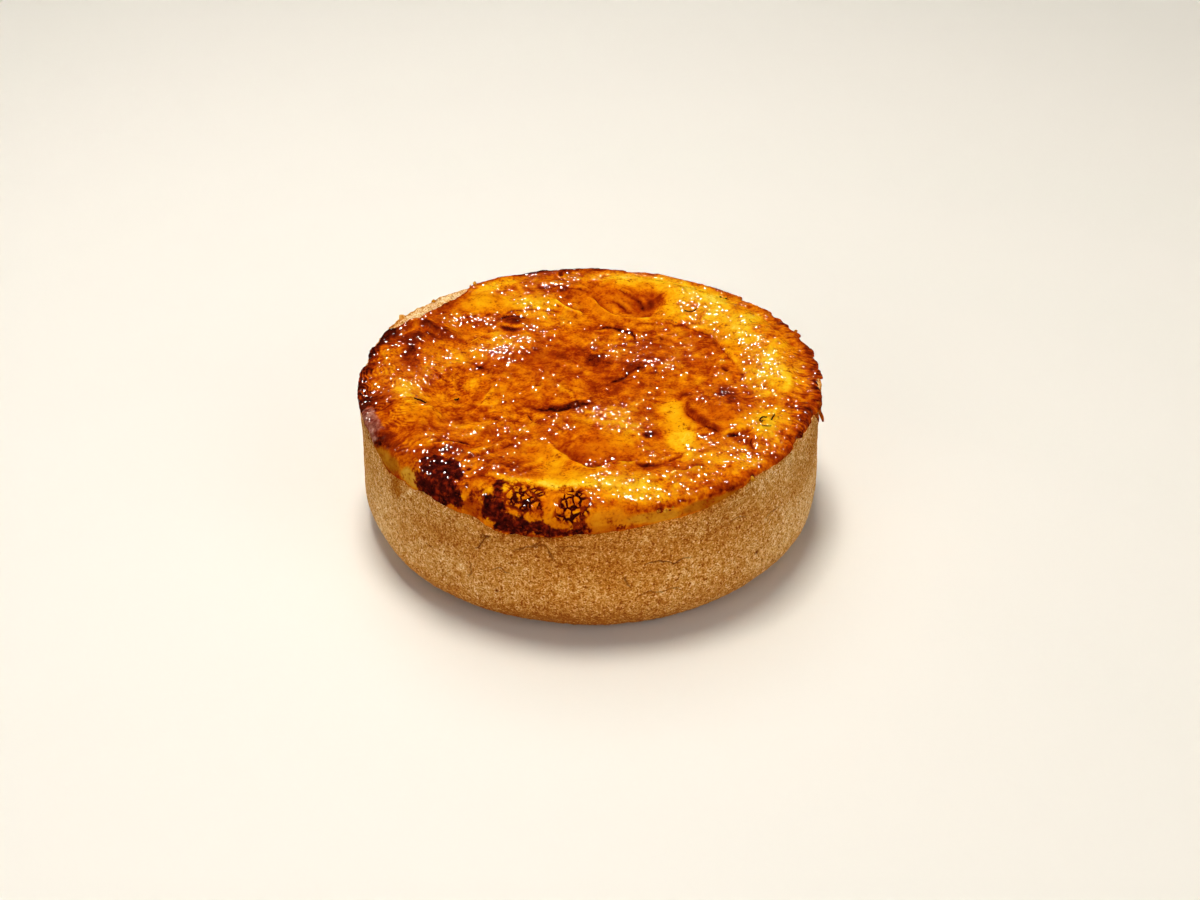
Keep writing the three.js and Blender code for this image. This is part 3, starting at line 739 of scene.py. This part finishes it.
def sideBand(points, azimuth, radius, relief, brown):  # the side stands bare at the front: golden, no skin
    height = points[:, 2]
    side = smooth(50.5, 52.6, radius) * smooth(35.4, 34.2, height) * slumpedAt(azimuth)
    golden = 0.46 + 0.08 * ripple(points, 5, 69) + 0.05 * ripple(points, 1.6, 70)
    brown = mix(brown, golden, 0.75 * side)
    brown += 0.16 * smooth(1.2, 0.2, height - meetingHeight(azimuth)) * side
    middle, width, level = custard["seam"]
    seam = hump(height - level - 0.4 * ripple(points, 2.5, 87), 0.42)
    seam *= hump(turnFrom(middle, azimuth), width) * smooth(50, 51, radius)
    brown += seam * (0.28 + 0.5 * ripple(points, 0.9, 88))
    relief = relief + 0.22 * seam * ripple(points, 1.1, 89)
    bare, olive = np.zeros((2, len(points)))
    ragged = 0.25 * ripple(points, 2.6, 62)
    cloudy = 0.05 * ripple(points, 4, 63)
    for *spot, tone, green in custard["bareSide"]:
        share = smooth(1.25, 0.75, fromSpot(spot, azimuth, height) + ragged) * smooth(49, 51, radius)
        brown = mix(brown, tone + cloudy, share)
        bare = np.maximum(bare, share)
        olive = np.maximum(olive, share * green)
    return relief * (1 - 0.5 * side) * (1 - 0.7 * bare), brown, bare, olive


def burntPlaces(points, azimuth, x, y, radius):  # where it burnt, and where it only cracked into a net
    height = points[:, 2]
    burnt, crackled = np.zeros((2, len(points)))
    uneven = 0.55 * ripple(points, 2.6, 71) + 0.32 * ripple(points, 1.2, 72)
    outward = smooth(45.5, 48.5, radius)
    for *spot, amount in custard["burnt"]:
        away = fromSpot(spot, azimuth, height)
        burnt = np.maximum(burnt, amount * smooth(1.25, 0.65, away + uneven) * outward)
    inside = oval(x, y, *custard["burntInside"])
    burnt = np.maximum(burnt, smooth(0.30, 0.62, inside - 0.35 * uneven))
    for spot in custard["crackled"]:
        away = fromSpot(spot, azimuth, height)
        crackled = np.maximum(crackled, smooth(1.45, 0.5, away + 0.8 * uneven) * outward)
    return burnt * (1 - 0.6 * crackled), crackled


def rosyFilm(points, azimuth, radius):
    height = points[:, 2]
    middle, width, lowest, highest = custard["film"]
    film = hump(turnFrom(middle, azimuth), width)
    film *= smooth(lowest, lowest + 1.2, height) * smooth(highest, highest - 1.6, height)
    return 0.85 * smooth(0.30, 0.75, film + 0.30 * ripple(points, 1.6, 78)) * smooth(50.5, 51.5, radius)


def makeCustard():
    points, azimuth, quads, tris, seen = custardBody()
    x, y, height = points.T.copy()
    radius = np.hypot(x, y)
    onTop = smooth(54, 50, radius)
    bent = points.copy()
    bent[:, :2] += 0.9 * np.stack([ripple(points, 4, 51), ripple(points, 4, 52)], axis=1)
    # Places of folds and spots are as they look from the front, where what stands higher looks
    # farther back. They are shifted a little too, so that no edge is ruled.
    y = y + custard["leanBack"] * (height - custard["shoulderHeight"] - 0.6) * smooth(33, 34.5, height)
    bentX = bent[:, 0]
    bentY = bent[:, 1] + y - points[:, 1]

    calm, beaded = np.zeros((2, len(points)))
    for spot in custard["calm"]:
        calm = np.maximum(calm, oval(x, y, *spot))
    for *spot, amount in custard["beaded"]:
        beaded = np.maximum(beaded, amount * oval(bentX, bentY, *spot))
    grain = np.clip(0.55 + 0.8 * beaded - 0.45 * calm + 0.25 * ripple(points, 7, 53), 0.08, 1.2)
    oily = 0.18 + beaded + 0.18 * ripple(points, 5, 53) - 0.5 * calm  # share of the skin with drops of oil
    oily -= sum(oval(x, y, *spot) for spot in custard["dull"])
    oily *= smooth(34.0, 35.0, height)

    foldRelief, foldBrown, foldGap, folded = foldedSkin(bentX, bentY)
    pitRelief, pitted = pittedSkin(x, y)
    rimRelief, rimBrown = rimSkin(points, azimuth, x, y, radius)
    bubbleRelief, bubbleBrown = bubblySkin(points, bent, grain, calm)
    relief = foldRelief + onTop * pitRelief + rimRelief + bubbleRelief
    # The pits are painted darker inside: painted shade in their hollows.
    brown = custard["evenBrown"] + foldBrown + rimBrown + bubbleBrown + 0.30 * pitted
    for *spot, amount in custard["browned"]:
        brown += amount * (0.75 if amount > 0 else 1.0) * oval(bentX, bentY, *spot)

    relief, brown, bare, olive = sideBand(points, azimuth, radius, relief, brown)
    brown = np.where(bare > 0.5, brown, mix(0.53, brown, custard["contrast"]))
    grain *= 1 - 0.85 * bare
    burnt, crackled = burntPlaces(points, azimuth, x, y, radius)
    brown = mix(brown, 0.45, 0.7 * crackled)
    blisters = smooth(0.7, 0.15, cells(points, 2.6, 74))
    rosy = rosyFilm(points, azimuth, radius)
    relief += burnt * (0.42 * blisters - 0.10) + 0.25 * rosy * ripple(points, 1.5, 79)
    oily *= 1 - 0.5 * burnt
    points += pointNormals(points, quads) * (relief * seen)[:, None]
    marks = {
        "brown": brown, "burnt": burnt, "grain": grain, "oily": oily, "crackled": crackled, "rosy": rosy,
        "folded": folded * onTop, "olive": olive,
    }
    marks = {label: np.clip(values, 0, 1) for label, values in marks.items()}
    marks["foldGap"] = foldGap
    return meshFrom("bakedCustard", points, quads, tris, marks)


# Bits that lie on the quiche or stick out from it, each a run of rings along a line.
bits = {
    # Burnt strands on the custard, as places seen from the front, and their thickness.
    "strands": [
        ([(39.1, -20.1), (38.3, -20.0), (37.7, -20.5), (37.4, -21.3), (37.9, -21.8)], 0.40),
        ([(40.9, -19.2), (40.4, -20.1), (39.9, -21.3)], 0.38),
        ([(37.5, -23.1), (38.5, -23.5), (39.7, -23.6)], 0.22),
        ([(23.4, 28.7), (24.6, 28.1), (25.6, 28.3), (26.5, 29.4)], 0.32),
        ([(20.2, 24.0), (21.2, 23.2), (22.0, 22.6)], 0.26),
        ([(32.5, 35.2), (33.4, 35.1), (34.3, 34.2)], 0.34),
        ([(-39.8, -9.9), (-38.4, -10.6), (-37.2, -12.0)], 0.46),
        ([(-31.2, -10.4), (-30.2, -10.4)], 0.46),
    ],
    # Crumbs: azimuth, radius, height, size.
    "crumbs": [
        (-147.2, 52.9, 35.4, 1.3), (14.8, 54.1, 33.7, 0.8), (16.6, 54.0, 33.5, 1.1),
        (18.2, 53.9, 33.9, 0.6), (-146, 53.3, 34.8, 0.8), (39.4, 53.9, 34.2, 1.2),
        (-133, 52.6, 35.4, 1.0), (112, 53.8, 34.2, 0.9),
    ],
    # Torn shreds of skin on the right, and a torn tongue of pastry on the bare rim.
    "shredAzimuth": 75.6, "shredTop": 35.2, "shredLength": 4.4, "smallShredAzimuth": 70.4,
    "tabAzimuth": -121.6, "tabFoot": 33.6, "tabHeight": 3.0,
}


def rod(line, halfWidths, halfThickness, flat, around=10):  # closed run of rings; flat is its wide direction
    line = np.array(line, float)
    flat = np.array(flat, float)
    ahead = np.gradient(line, axis=0)
    ahead /= np.linalg.norm(ahead, axis=1)[:, None]
    wide = flat - ahead * (ahead @ flat)[:, None]
    wide /= np.linalg.norm(wide, axis=1)[:, None]
    thick = np.cross(ahead, wide)
    turn = np.arange(around) * 2 * math.pi / around
    rings = [at + np.outer(np.cos(turn), w * half) + np.outer(np.sin(turn), t * halfThickness)
             for at, w, t, half in zip(line, wide, thick, halfWidths)]
    points = np.vstack([*rings, line[:1], line[-1:]])
    number = np.arange(around * len(rings)).reshape(-1, around)
    quads = np.vstack([hoop(a, b) for a, b in zip(number, number[1:])])
    tris = np.vstack([fan(number[0][::-1], len(points) - 2), fan(number[-1], len(points) - 1)])
    return points, quads, tris


def joined(name, parts):  # several closed runs as one piece
    points, quads, tris, count = [], [], [], 0
    for partPoints, partQuads, partTris in parts:
        points.append(partPoints)
        quads.append(partQuads + count)
        tris.append(partTris + count)
        count += len(partPoints)
    return meshFrom(name, np.vstack(points), np.vstack(quads), np.vstack(tris), {})


def outwards(azimuth):  # the direction away from the middle
    return (*polar(1.0, azimuth), 0.0)


def roughened(points, amount, size, seeds):
    return points + amount * np.stack([ripple(points, size, seed) for seed in seeds], axis=1)


def surfacePoints(piece):  # points of the custard that bits can lie on
    spots = np.empty(len(piece.data.vertices) * 3)
    piece.data.vertices.foreach_get("co", spots)
    spots = spots.reshape(-1, 3) / mm
    return spots[spots[:, 2] > 30]


def layOn(surface, x, y):  # the spot on the custard that is seen at x, y from the front
    seenAt = y
    for attempt in range(5):
        spot = surface[np.argmin((surface[:, 0] - x) ** 2 + (surface[:, 1] - seenAt) ** 2)]
        seenAt = y - custard["leanBack"] * (spot[2] - 35.6)
    return [x, seenAt, spot[2]]


def makeStrands(surface):
    parts = []
    for corners, thick in bits["strands"]:
        line = np.array([layOn(surface, x, y) for x, y in softLine(corners, 4)]) + [0, 0, 0.3 * thick]
        line[:, 2] = np.convolve(np.pad(line[:, 2], 1, mode="edge"), (0.25, 0.5, 0.25), mode="valid")
        line[0, 2] += 0.4 * thick
        line[-1, 2] += 0.8 * thick
        taper = 0.5 * thick * (0.55 + 0.45 * np.sin(np.linspace(0.15, 3.0, len(line))))
        parts.append(rod(line, taper, 0.42 * thick, (0, 0, 1)))
    return joined("burntStrands", parts)


def makeCrumbs():
    parts = []
    steps = np.linspace(-0.5, 0.5, 6)
    for azimuth, radius, height, size in bits["crumbs"]:
        x, y = polar(radius, azimuth)
        slant = math.radians(azimuth * 3)
        ahead = np.array([math.cos(slant), math.sin(slant), 0.25]) * size
        line = np.array([x, y, height]) + np.outer(steps, ahead)
        points, quads, tris = rod(line, size * 0.45 * np.sqrt(1.02 - 4 * steps ** 2), size * 0.36, (0, 0, 1))
        parts.append((roughened(points, 0.13 * size, 0.45 * size, (81, 82, 83)), quads, tris))
    return joined("crumbs", parts)


def makeShreds():  # two torn shreds of skin that hang down over the pastry on the right
    azimuth = bits["shredAzimuth"]
    downs = np.linspace(0, 1, 9)
    radii = 53.3 + 1.1 * downs - 0.25 * np.sin(5 * downs)
    x, y = polar(radii, azimuth - 1.2 * downs)
    line = np.stack([x, y, bits["shredTop"] - bits["shredLength"] * downs], axis=1)
    widths = 0.62 * (1 - 0.8 * downs) * (1 + 0.3 * np.sin(10 * downs)) + 0.10
    shred = rod(line, widths, 0.22, outwards(azimuth))
    azimuth = bits["smallShredAzimuth"]
    x, y = polar(53.5, azimuth)
    line = [[x, y, 35.0], [x * 1.010, y * 1.010, 34.0], [x * 1.014, y * 1.014, 33.0]]
    return joined("skinShreds", [shred, rod(line, (0.5, 0.34, 0.1), 0.2, outwards(azimuth))])


def makeTab():  # a torn tongue of pastry that stands up from the bare rim
    azimuth = bits["tabAzimuth"]
    ups = np.linspace(0, 1, 8)
    x, y = polar(53.2 - 0.5 * ups + 0.6 * ups * ups, azimuth + 1.3 * ups)
    line = np.stack([x, y, bits["tabFoot"] + bits["tabHeight"] * ups], axis=1)
    widths = 1.3 * np.sqrt(1.05 - ups ** 2) + 0.05
    points, quads, tris = rod(line, widths, 0.26, outwards(azimuth + 90), 14)
    return joined("pastryTab", [(roughened(points, 0.16, 0.9, (84, 85, 86)), quads, tris)])


# Finishes. A colour is given as it should look on screen, 0 to 255.
def paint(red, green, blue):
    return (*(((c / 255 + 0.055) / 1.055) ** 2.4 if c > 10 else c / 3295 for c in (red, green, blue)), 1.0)


def feed(tree, node, inputs):  # an input takes a value, or what another node gives out
    for socket, value in inputs.items():
        if isinstance(value, bpy.types.NodeSocket):
            tree.links.new(value, node.inputs[socket])
        else:
            node.inputs[socket].default_value = value


def newFinish(name):
    finish = bpy.data.materials.new(name)
    finish.use_nodes = True
    tree = finish.node_tree
    return finish, tree, tree.nodes["Principled BSDF"]


def place(tree, kind, inputs, **settings):
    node = tree.nodes.new(kind)
    for setting, value in settings.items():
        setattr(node, setting, value)
    feed(tree, node, inputs)
    return node


def mark(tree, name):  # a value kept on the mesh
    return place(tree, "ShaderNodeAttribute", {}, attribute_name=name).outputs["Fac"]


def sums(tree, operation, *values):
    return place(tree, "ShaderNodeMath", dict(enumerate(values)), operation=operation).outputs[0]


def onPiece(tree):  # places on the piece, in metres
    return place(tree, "ShaderNodeTexCoord", {}).outputs["Object"]


def specks(tree, size, detail=2.0, rough=0.55):  # fine noise with grains of this size in mm, 0 to 1
    inputs = {"Vector": onPiece(tree), "Scale": 1000 / size, "Detail": detail, "Roughness": rough}
    return place(tree, "ShaderNodeTexNoise", inputs).outputs["Fac"]


def centred(tree, size, detail=2.0, rough=0.55):  # the same noise, as much below 0 as above
    return sums(tree, "SUBTRACT", specks(tree, size, detail, rough), 0.5)


def strayed(tree, scale, detail, reach):  # places on the piece, each moved by up to this far in mm
    spots = onPiece(tree)
    noise = place(tree, "ShaderNodeTexNoise", {"Vector": spots, "Scale": scale, "Detail": detail})
    inputs = {0: noise.outputs["Color"], 1: (reach * mm,) * 3, 2: spots}
    return place(tree, "ShaderNodeVectorMath", inputs, operation="MULTIPLY_ADD").outputs[0]


def beads(tree, size, kept):  # rounded drops of this size in mm; kept is the share of them that stand up
    moved = strayed(tree, 900 / size, 1.0, 0.7 * size)
    drops = place(tree, "ShaderNodeTexVoronoi", {"Vector": moved, "Scale": 1000 / size})
    away = drops.outputs["Distance"]
    dome = sums(tree, "MULTIPLY_ADD", sums(tree, "MULTIPLY", away, away), -5.5, 1.0)
    drawn = place(tree, "ShaderNodeSeparateColor", {0: drops.outputs["Color"]}).outputs[0]
    return sums(tree, "MULTIPLY", sums(tree, "MAXIMUM", dome, 0.0), sums(tree, "LESS_THAN", drawn, kept))


def ramp(tree, value, stops):
    node = place(tree, "ShaderNodeValToRGB", {"Fac": value})
    band = node.color_ramp
    while len(band.elements) < len(stops):
        band.elements.new(0.5)
    for element, (spot, colour) in zip(band.elements, stops):
        element.position = spot
        element.color = paint(*colour)
    return node.outputs["Color"]


def rise(tree, value, low, high):  # 0 at low, 1 at high
    ends = sorted([(low, 0), (high, 255)])
    return ramp(tree, value, [(spot, (grey, grey, grey)) for spot, grey in ends])


def patchy(tree, value, size, low, high):  # the value in patches of about this size in mm, 0 between them
    return sums(tree, "MULTIPLY", value, rise(tree, specks(tree, size, 1.0), low, high))


def drawnLine(tree, gapMark, sway, size, outer, inner):  # 1 on a line, from the kept distance to it
    gap = sums(tree, "MULTIPLY_ADD", centred(tree, size), sway, mark(tree, gapMark))
    return rise(tree, sums(tree, "ABSOLUTE", gap), outer, inner)


def blend(tree, share, first, second):
    return place(tree, "ShaderNodeMix", {0: share, 6: first, 7: second}, data_type="RGBA").outputs[2]


def bump(tree, height, depth, under=None):  # depth in mm
    inputs = {"Height": height, "Distance": depth * mm, "Strength": 1.0}
    if under is not None:
        inputs["Normal"] = under
    return place(tree, "ShaderNodeBump", inputs).outputs["Normal"]


# Colours of the custard, by how far it has baked or burnt.
custardColours = {
    "skin": [
        (0.00, (255, 211, 62)), (0.14, (252, 193, 26)), (0.30, (243, 163, 9)), (0.44, (227, 128, 5)),
        (0.57, (202, 90, 4)), (0.69, (164, 55, 4)), (0.82, (112, 28, 5)), (0.94, (66, 14, 5)),
        (1.00, (40, 8, 5)),
    ],
    "olive": [(0.25, (222, 170, 62)), (0.45, (190, 134, 34)), (0.62, (156, 92, 10)), (0.80, (110, 52, 8))],
    "charred": [(0.34, (28, 7, 7)), (0.54, (72, 15, 9)), (0.70, (146, 38, 12))],
    "rosy": [(0.35, (104, 44, 36)), (0.5, (158, 92, 74)), (0.66, (206, 150, 130))],
    "burntEdge": (156, 46, 6),
    "netDark": 0.56, "creaseDark": 0.18, "lineDark": 0.28,  # how much browner these lines are
}


def custardFinish():
    finish, tree, shader = newFinish("browned custard")
    brown, burnt, grain, oily = (mark(tree, name) for name in ("brown", "burnt", "grain", "oily"))
    moved = strayed(tree, 700.0, 2.0, 1.3)
    squeezed = place(tree, "ShaderNodeMapping", {"Vector": moved, "Scale": (1.0, 1.0, 0.7)}).outputs[0]
    inputs = {"Vector": squeezed, "Scale": 1000 / 1.6}
    tiles = place(tree, "ShaderNodeTexVoronoi", inputs, feature="DISTANCE_TO_EDGE").outputs["Distance"]
    net = rise(tree, sums(tree, "MULTIPLY_ADD", specks(tree, 1.4), 0.25, tiles), 0.30, 0.20)
    net = sums(tree, "MULTIPLY", net, rise(tree, mark(tree, "crackled"), 0.1, 0.9))
    crease = rise(tree, sums(tree, "ABSOLUTE", centred(tree, 2.8)), 0.035, 0.0)
    crease = sums(tree, "MULTIPLY", patchy(tree, crease, 7.0, 0.44, 0.60), grain)
    # A dark line drawn along the fold grooves: partly browned skin, partly painted shade in the groove.
    line = patchy(tree, drawnLine(tree, "foldGap", 1.2, 1.4, 0.34, 0.08), 3.2, 0.36, 0.56)
    line = sums(tree, "MULTIPLY", line, mark(tree, "folded"))

    mottle = centred(tree, 2.4, 3.0, 0.5)
    fine = centred(tree, 0.6)
    strength = sums(tree, "MULTIPLY_ADD", grain, 0.55, 0.25)
    tone = sums(tree, "MULTIPLY_ADD", mottle, strength, brown)
    tone = sums(tree, "MULTIPLY_ADD", fine, sums(tree, "MULTIPLY", strength, 0.4), tone)
    for dark, amount in ((crease, "creaseDark"), (net, "netDark"), (line, "lineDark")):
        tone = sums(tree, "MULTIPLY_ADD", dark, custardColours[amount], tone)
    colour = ramp(tree, tone, custardColours["skin"])
    colour = blend(tree, mark(tree, "olive"), colour, ramp(tree, tone, custardColours["olive"]))
    charring = sums(tree, "MULTIPLY_ADD", sums(tree, "ADD", mottle, fine), 1.3, burnt)
    colour = blend(tree, rise(tree, charring, 0.14, 0.55), colour, paint(*custardColours["burntEdge"]))
    charred = ramp(tree, specks(tree, 1.3, 3.0), custardColours["charred"])
    colour = blend(tree, rise(tree, charring, 0.42, 0.85), colour, charred)
    rosy = ramp(tree, specks(tree, 1.6), custardColours["rosy"])
    colour = blend(tree, mark(tree, "rosy"), colour, rosy)

    skin = bump(tree, specks(tree, 1.0, 2.0, 0.5), 0.22)
    for height, depth in ((line, -0.10), (crease, -0.10), (net, -0.25)):
        skin = bump(tree, height, depth, skin)
    drops = beads(tree, 0.82, sums(tree, "MULTIPLY", oily, 1.15))
    feed(tree, shader, {
        "Base Color": colour, "Normal": skin, "Roughness": 0.5, "Specular IOR Level": 0.0, "IOR": 1.42,
        "Coat Normal": bump(tree, drops, 0.078, bump(tree, specks(tree, 2.2, 1.0, 0.5), 0.18)),
        "Coat Weight": sums(tree, "MINIMUM", sums(tree, "MULTIPLY", drops, 8.0), 1.0),
        "Coat Roughness": 0.08,
        "Subsurface Weight": 0.12, "Subsurface Radius": (1.0, 0.42, 0.12), "Subsurface Scale": 1.2 * mm,
    })
    return finish


# Colours of the pastry, from pale to brown.
crustColours = {
    "pastry": [
        (0.05, (255, 236, 196)), (0.28, (238, 196, 134)), (0.50, (210, 154, 80)), (0.72, (184, 118, 48)),
        (0.95, (146, 80, 28)),
    ],
    # The warmer ramp: painted bounce light at the front, and the warmer colour of the rim top.
    "toastedAndBounceLit": [
        (0.05, (255, 222, 158)), (0.28, (238, 178, 92)), (0.50, (210, 132, 42)), (0.72, (180, 98, 22)),
        (0.95, (140, 66, 14)),
    ],
    "soaked": [(0.15, (244, 184, 70)), (0.5, (220, 130, 24)), (0.9, (150, 72, 10))],
    # The crack colour is painted shade inside the cracks.
    "burn": (104, 36, 4), "crackShade": (116, 54, 12),
}


def crustFinish():
    finish, tree, shader = newFinish("sandy shortcrust")
    sand = centred(tree, 0.40, 2.0, 0.7)
    crumbs = centred(tree, 1.2, 3.0, 0.6)
    threads = sums(tree, "ABSOLUTE", centred(tree, 0.8, 1.0))
    shade = sums(tree, "MULTIPLY_ADD", sand, 1.7, mark(tree, "tone"))
    shade = sums(tree, "MULTIPLY_ADD", crumbs, 0.9, shade)
    shade = sums(tree, "MULTIPLY_ADD", threads, 1.6, sums(tree, "SUBTRACT", shade, 0.13))
    names = ("pastry", "toastedAndBounceLit", "soaked")
    pastry, toastedAndBounceLit, soaked = (ramp(tree, shade, crustColours[name]) for name in names)
    colour = blend(tree, mark(tree, "warm"), pastry, toastedAndBounceLit)
    colour = blend(tree, sums(tree, "MULTIPLY_ADD", sand, 0.8, mark(tree, "stain")), colour, soaked)
    burn = sums(tree, "MULTIPLY_ADD", sand, 0.5, mark(tree, "burn"))
    colour = blend(tree, burn, colour, paint(*crustColours["burn"]))
    # A dark line drawn along each crack: painted shade inside the crack.
    crackShade = drawnLine(tree, "crackGap", 0.7, 0.9, 0.30, 0.09)
    crackShade = sums(tree, "MULTIPLY", crackShade, mark(tree, "cracked"))
    gritty = bump(tree, crackShade, -0.07, bump(tree, specks(tree, 0.40, 1.0, 0.6), 0.07))
    feed(tree, shader, {
        "Base Color": blend(tree, crackShade, colour, paint(*crustColours["crackShade"])),
        "Normal": bump(tree, specks(tree, 1.0, 2.0, 0.6), 0.20, gritty),
        "Roughness": 0.8, "Specular IOR Level": 0.0, "IOR": 1.40,
        "Subsurface Weight": 0.06, "Subsurface Radius": (1.0, 0.5, 0.25), "Subsurface Scale": 0.7 * mm,
    })
    return finish


def bitFinish(name, dark, light, grain, rough):
    finish, tree, shader = newFinish(name)
    feed(tree, shader, {
        "Base Color": ramp(tree, specks(tree, grain, 3.0), [(0.35, dark), (0.62, light)]),
        "Normal": bump(tree, specks(tree, grain * 0.7), 0.10), "Roughness": rough, "Specular IOR Level": 0.0,
    })
    return finish


def makeFloor():
    size = 3.0  # metres from the middle to each side
    mesh = bpy.data.meshes.new("paleFloor")
    corners = [(-size, -size, 0), (size, -size, 0), (size, size, 0), (-size, size, 0)]
    mesh.from_pydata(corners, [], [(0, 1, 2, 3)])
    floor = bpy.data.objects.new("paleFloor", mesh)
    bpy.context.scene.collection.objects.link(floor)
    finish, tree, shader = newFinish("pale floor")
    feed(tree, shader, {"Base Color": paint(232, 228, 220), "Roughness": 0.7, "Specular IOR Level": 0.1})
    mesh.materials.append(finish)


# The studio. Places are metres from the middle of the base. A lamp has its place, size in metres,
# power, tint, and whether it lights bodies or only glints on what is glossy.
studio = {
    "lamps": {
        "overhead": ((-0.05, 0.10, 0.95), 0.30, 7.2, (1.0, 0.96, 0.88), "body"),
        "sparkle": ((-0.12, 0.46, 0.80), 0.50, 107.0, (1.0, 0.96, 0.90), "gloss"),
        "sparkleLeft": ((-0.50, -0.05, 0.78), 0.40, 34.0, (1.0, 0.96, 0.88), "gloss"),
        "sparkleRight": ((0.50, -0.05, 0.78), 0.40, 34.0, (1.0, 0.96, 0.88), "gloss"),
        "sparkleFront": ((0.05, -0.52, 0.76), 0.40, 34.0, (1.0, 0.96, 0.88), "gloss"),
        "frontLeft": ((-0.75, -0.95, 0.55), 0.80, 3.6, (1.0, 0.97, 0.93), "body"),
        "frontRight": ((0.85, -0.75, 0.60), 0.80, 3.2, (1.0, 0.98, 0.95), "body"),
    },
    "roomTint": (1.0, 0.98, 0.95), "roomStrength": 0.12,
    # The camera of the photo: its place, its own right, up and back, and its lens in mm.
    "eye": (0.0001, -0.35678, 0.25442), "lens": 54.11,
    "right": (0.99984579, -0.01327285, -0.0114986), "up": (0.0169512, 0.55841814, 0.82938642),
    "back": (-0.00458729, -0.82945344, 0.55855702),
}


def makeLamp(name, spot, size, power, tint, lights):
    lamp = bpy.data.lights.new(name, "AREA")
    lamp.shape = "DISK"
    lamp.size = size
    lamp.energy = power
    lamp.color = tint
    holder = bpy.data.objects.new(name, lamp)
    holder.location = spot
    holder.rotation_euler = (-holder.location).to_track_quat("-Z", "Y").to_euler()
    holder.visible_diffuse = lights != "gloss"
    holder.visible_glossy = lights != "body"
    bpy.context.scene.collection.objects.link(holder)


def makeCamera():
    lens = bpy.data.cameras.new("photoView")
    lens.lens = studio["lens"]
    lens.sensor_width = 36.0
    lens.clip_start = 0.01
    camera = bpy.data.objects.new("photoView", lens)
    turned = Matrix((studio["right"], studio["up"], studio["back"])).transposed()
    camera.matrix_world = Matrix.Translation(studio["eye"]) @ turned.to_4x4()
    bpy.context.scene.collection.objects.link(camera)
    bpy.context.scene.camera = camera


def makeStudio():
    makeFloor()
    for name, plan in studio["lamps"].items():
        makeLamp(name, *plan)
    world = bpy.data.worlds.new("studio")
    world.use_nodes = True
    background = world.node_tree.nodes["Background"]
    background.inputs["Color"].default_value = (*studio["roomTint"], 1)
    background.inputs["Strength"].default_value = studio["roomStrength"]
    scene = bpy.context.scene
    scene.world = world
    world.cycles_visibility.glossy = False  # the room is dark, so only the lamps glint on the glaze
    scene.view_settings.view_transform = "Standard"
    scene.view_settings.look = "None"
    makeCamera()


makeStudio()
print("studio, lamps and camera are up")

crust = makeShell()
crust.data.materials.append(crustFinish())
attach(crust, "root")
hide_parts("pastry_shell")
print("shortcrust shell:", len(crust.data.polygons), "faces")

baked = makeCustard()
baked.data.materials.append(custardFinish())
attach(baked, "root")
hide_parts("custard_filling")
print("baked custard:", len(baked.data.polygons), "faces")

surface = surfacePoints(baked)
for piece, finish, slot in (
    (makeStrands(surface), bitFinish("burnt black", (20, 10, 6), (58, 30, 14), 0.5, 0.45), "baked_custard"),
    (makeShreds(), bitFinish("torn skin", (84, 26, 5), (196, 88, 10), 1.0, 0.5), "baked_custard"),
    (makeTab(), bitFinish("torn pastry", (206, 132, 44), (246, 196, 104), 0.9, 0.75), "shortcrust"),
    (makeCrumbs(), bitFinish("crumbs", (150, 70, 8), (226, 160, 40), 0.6, 0.7), "shortcrust"),
):
    piece.data.materials.append(finish)
    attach(piece, "root")
    print(piece.name + ":", len(piece.data.polygons), "faces")
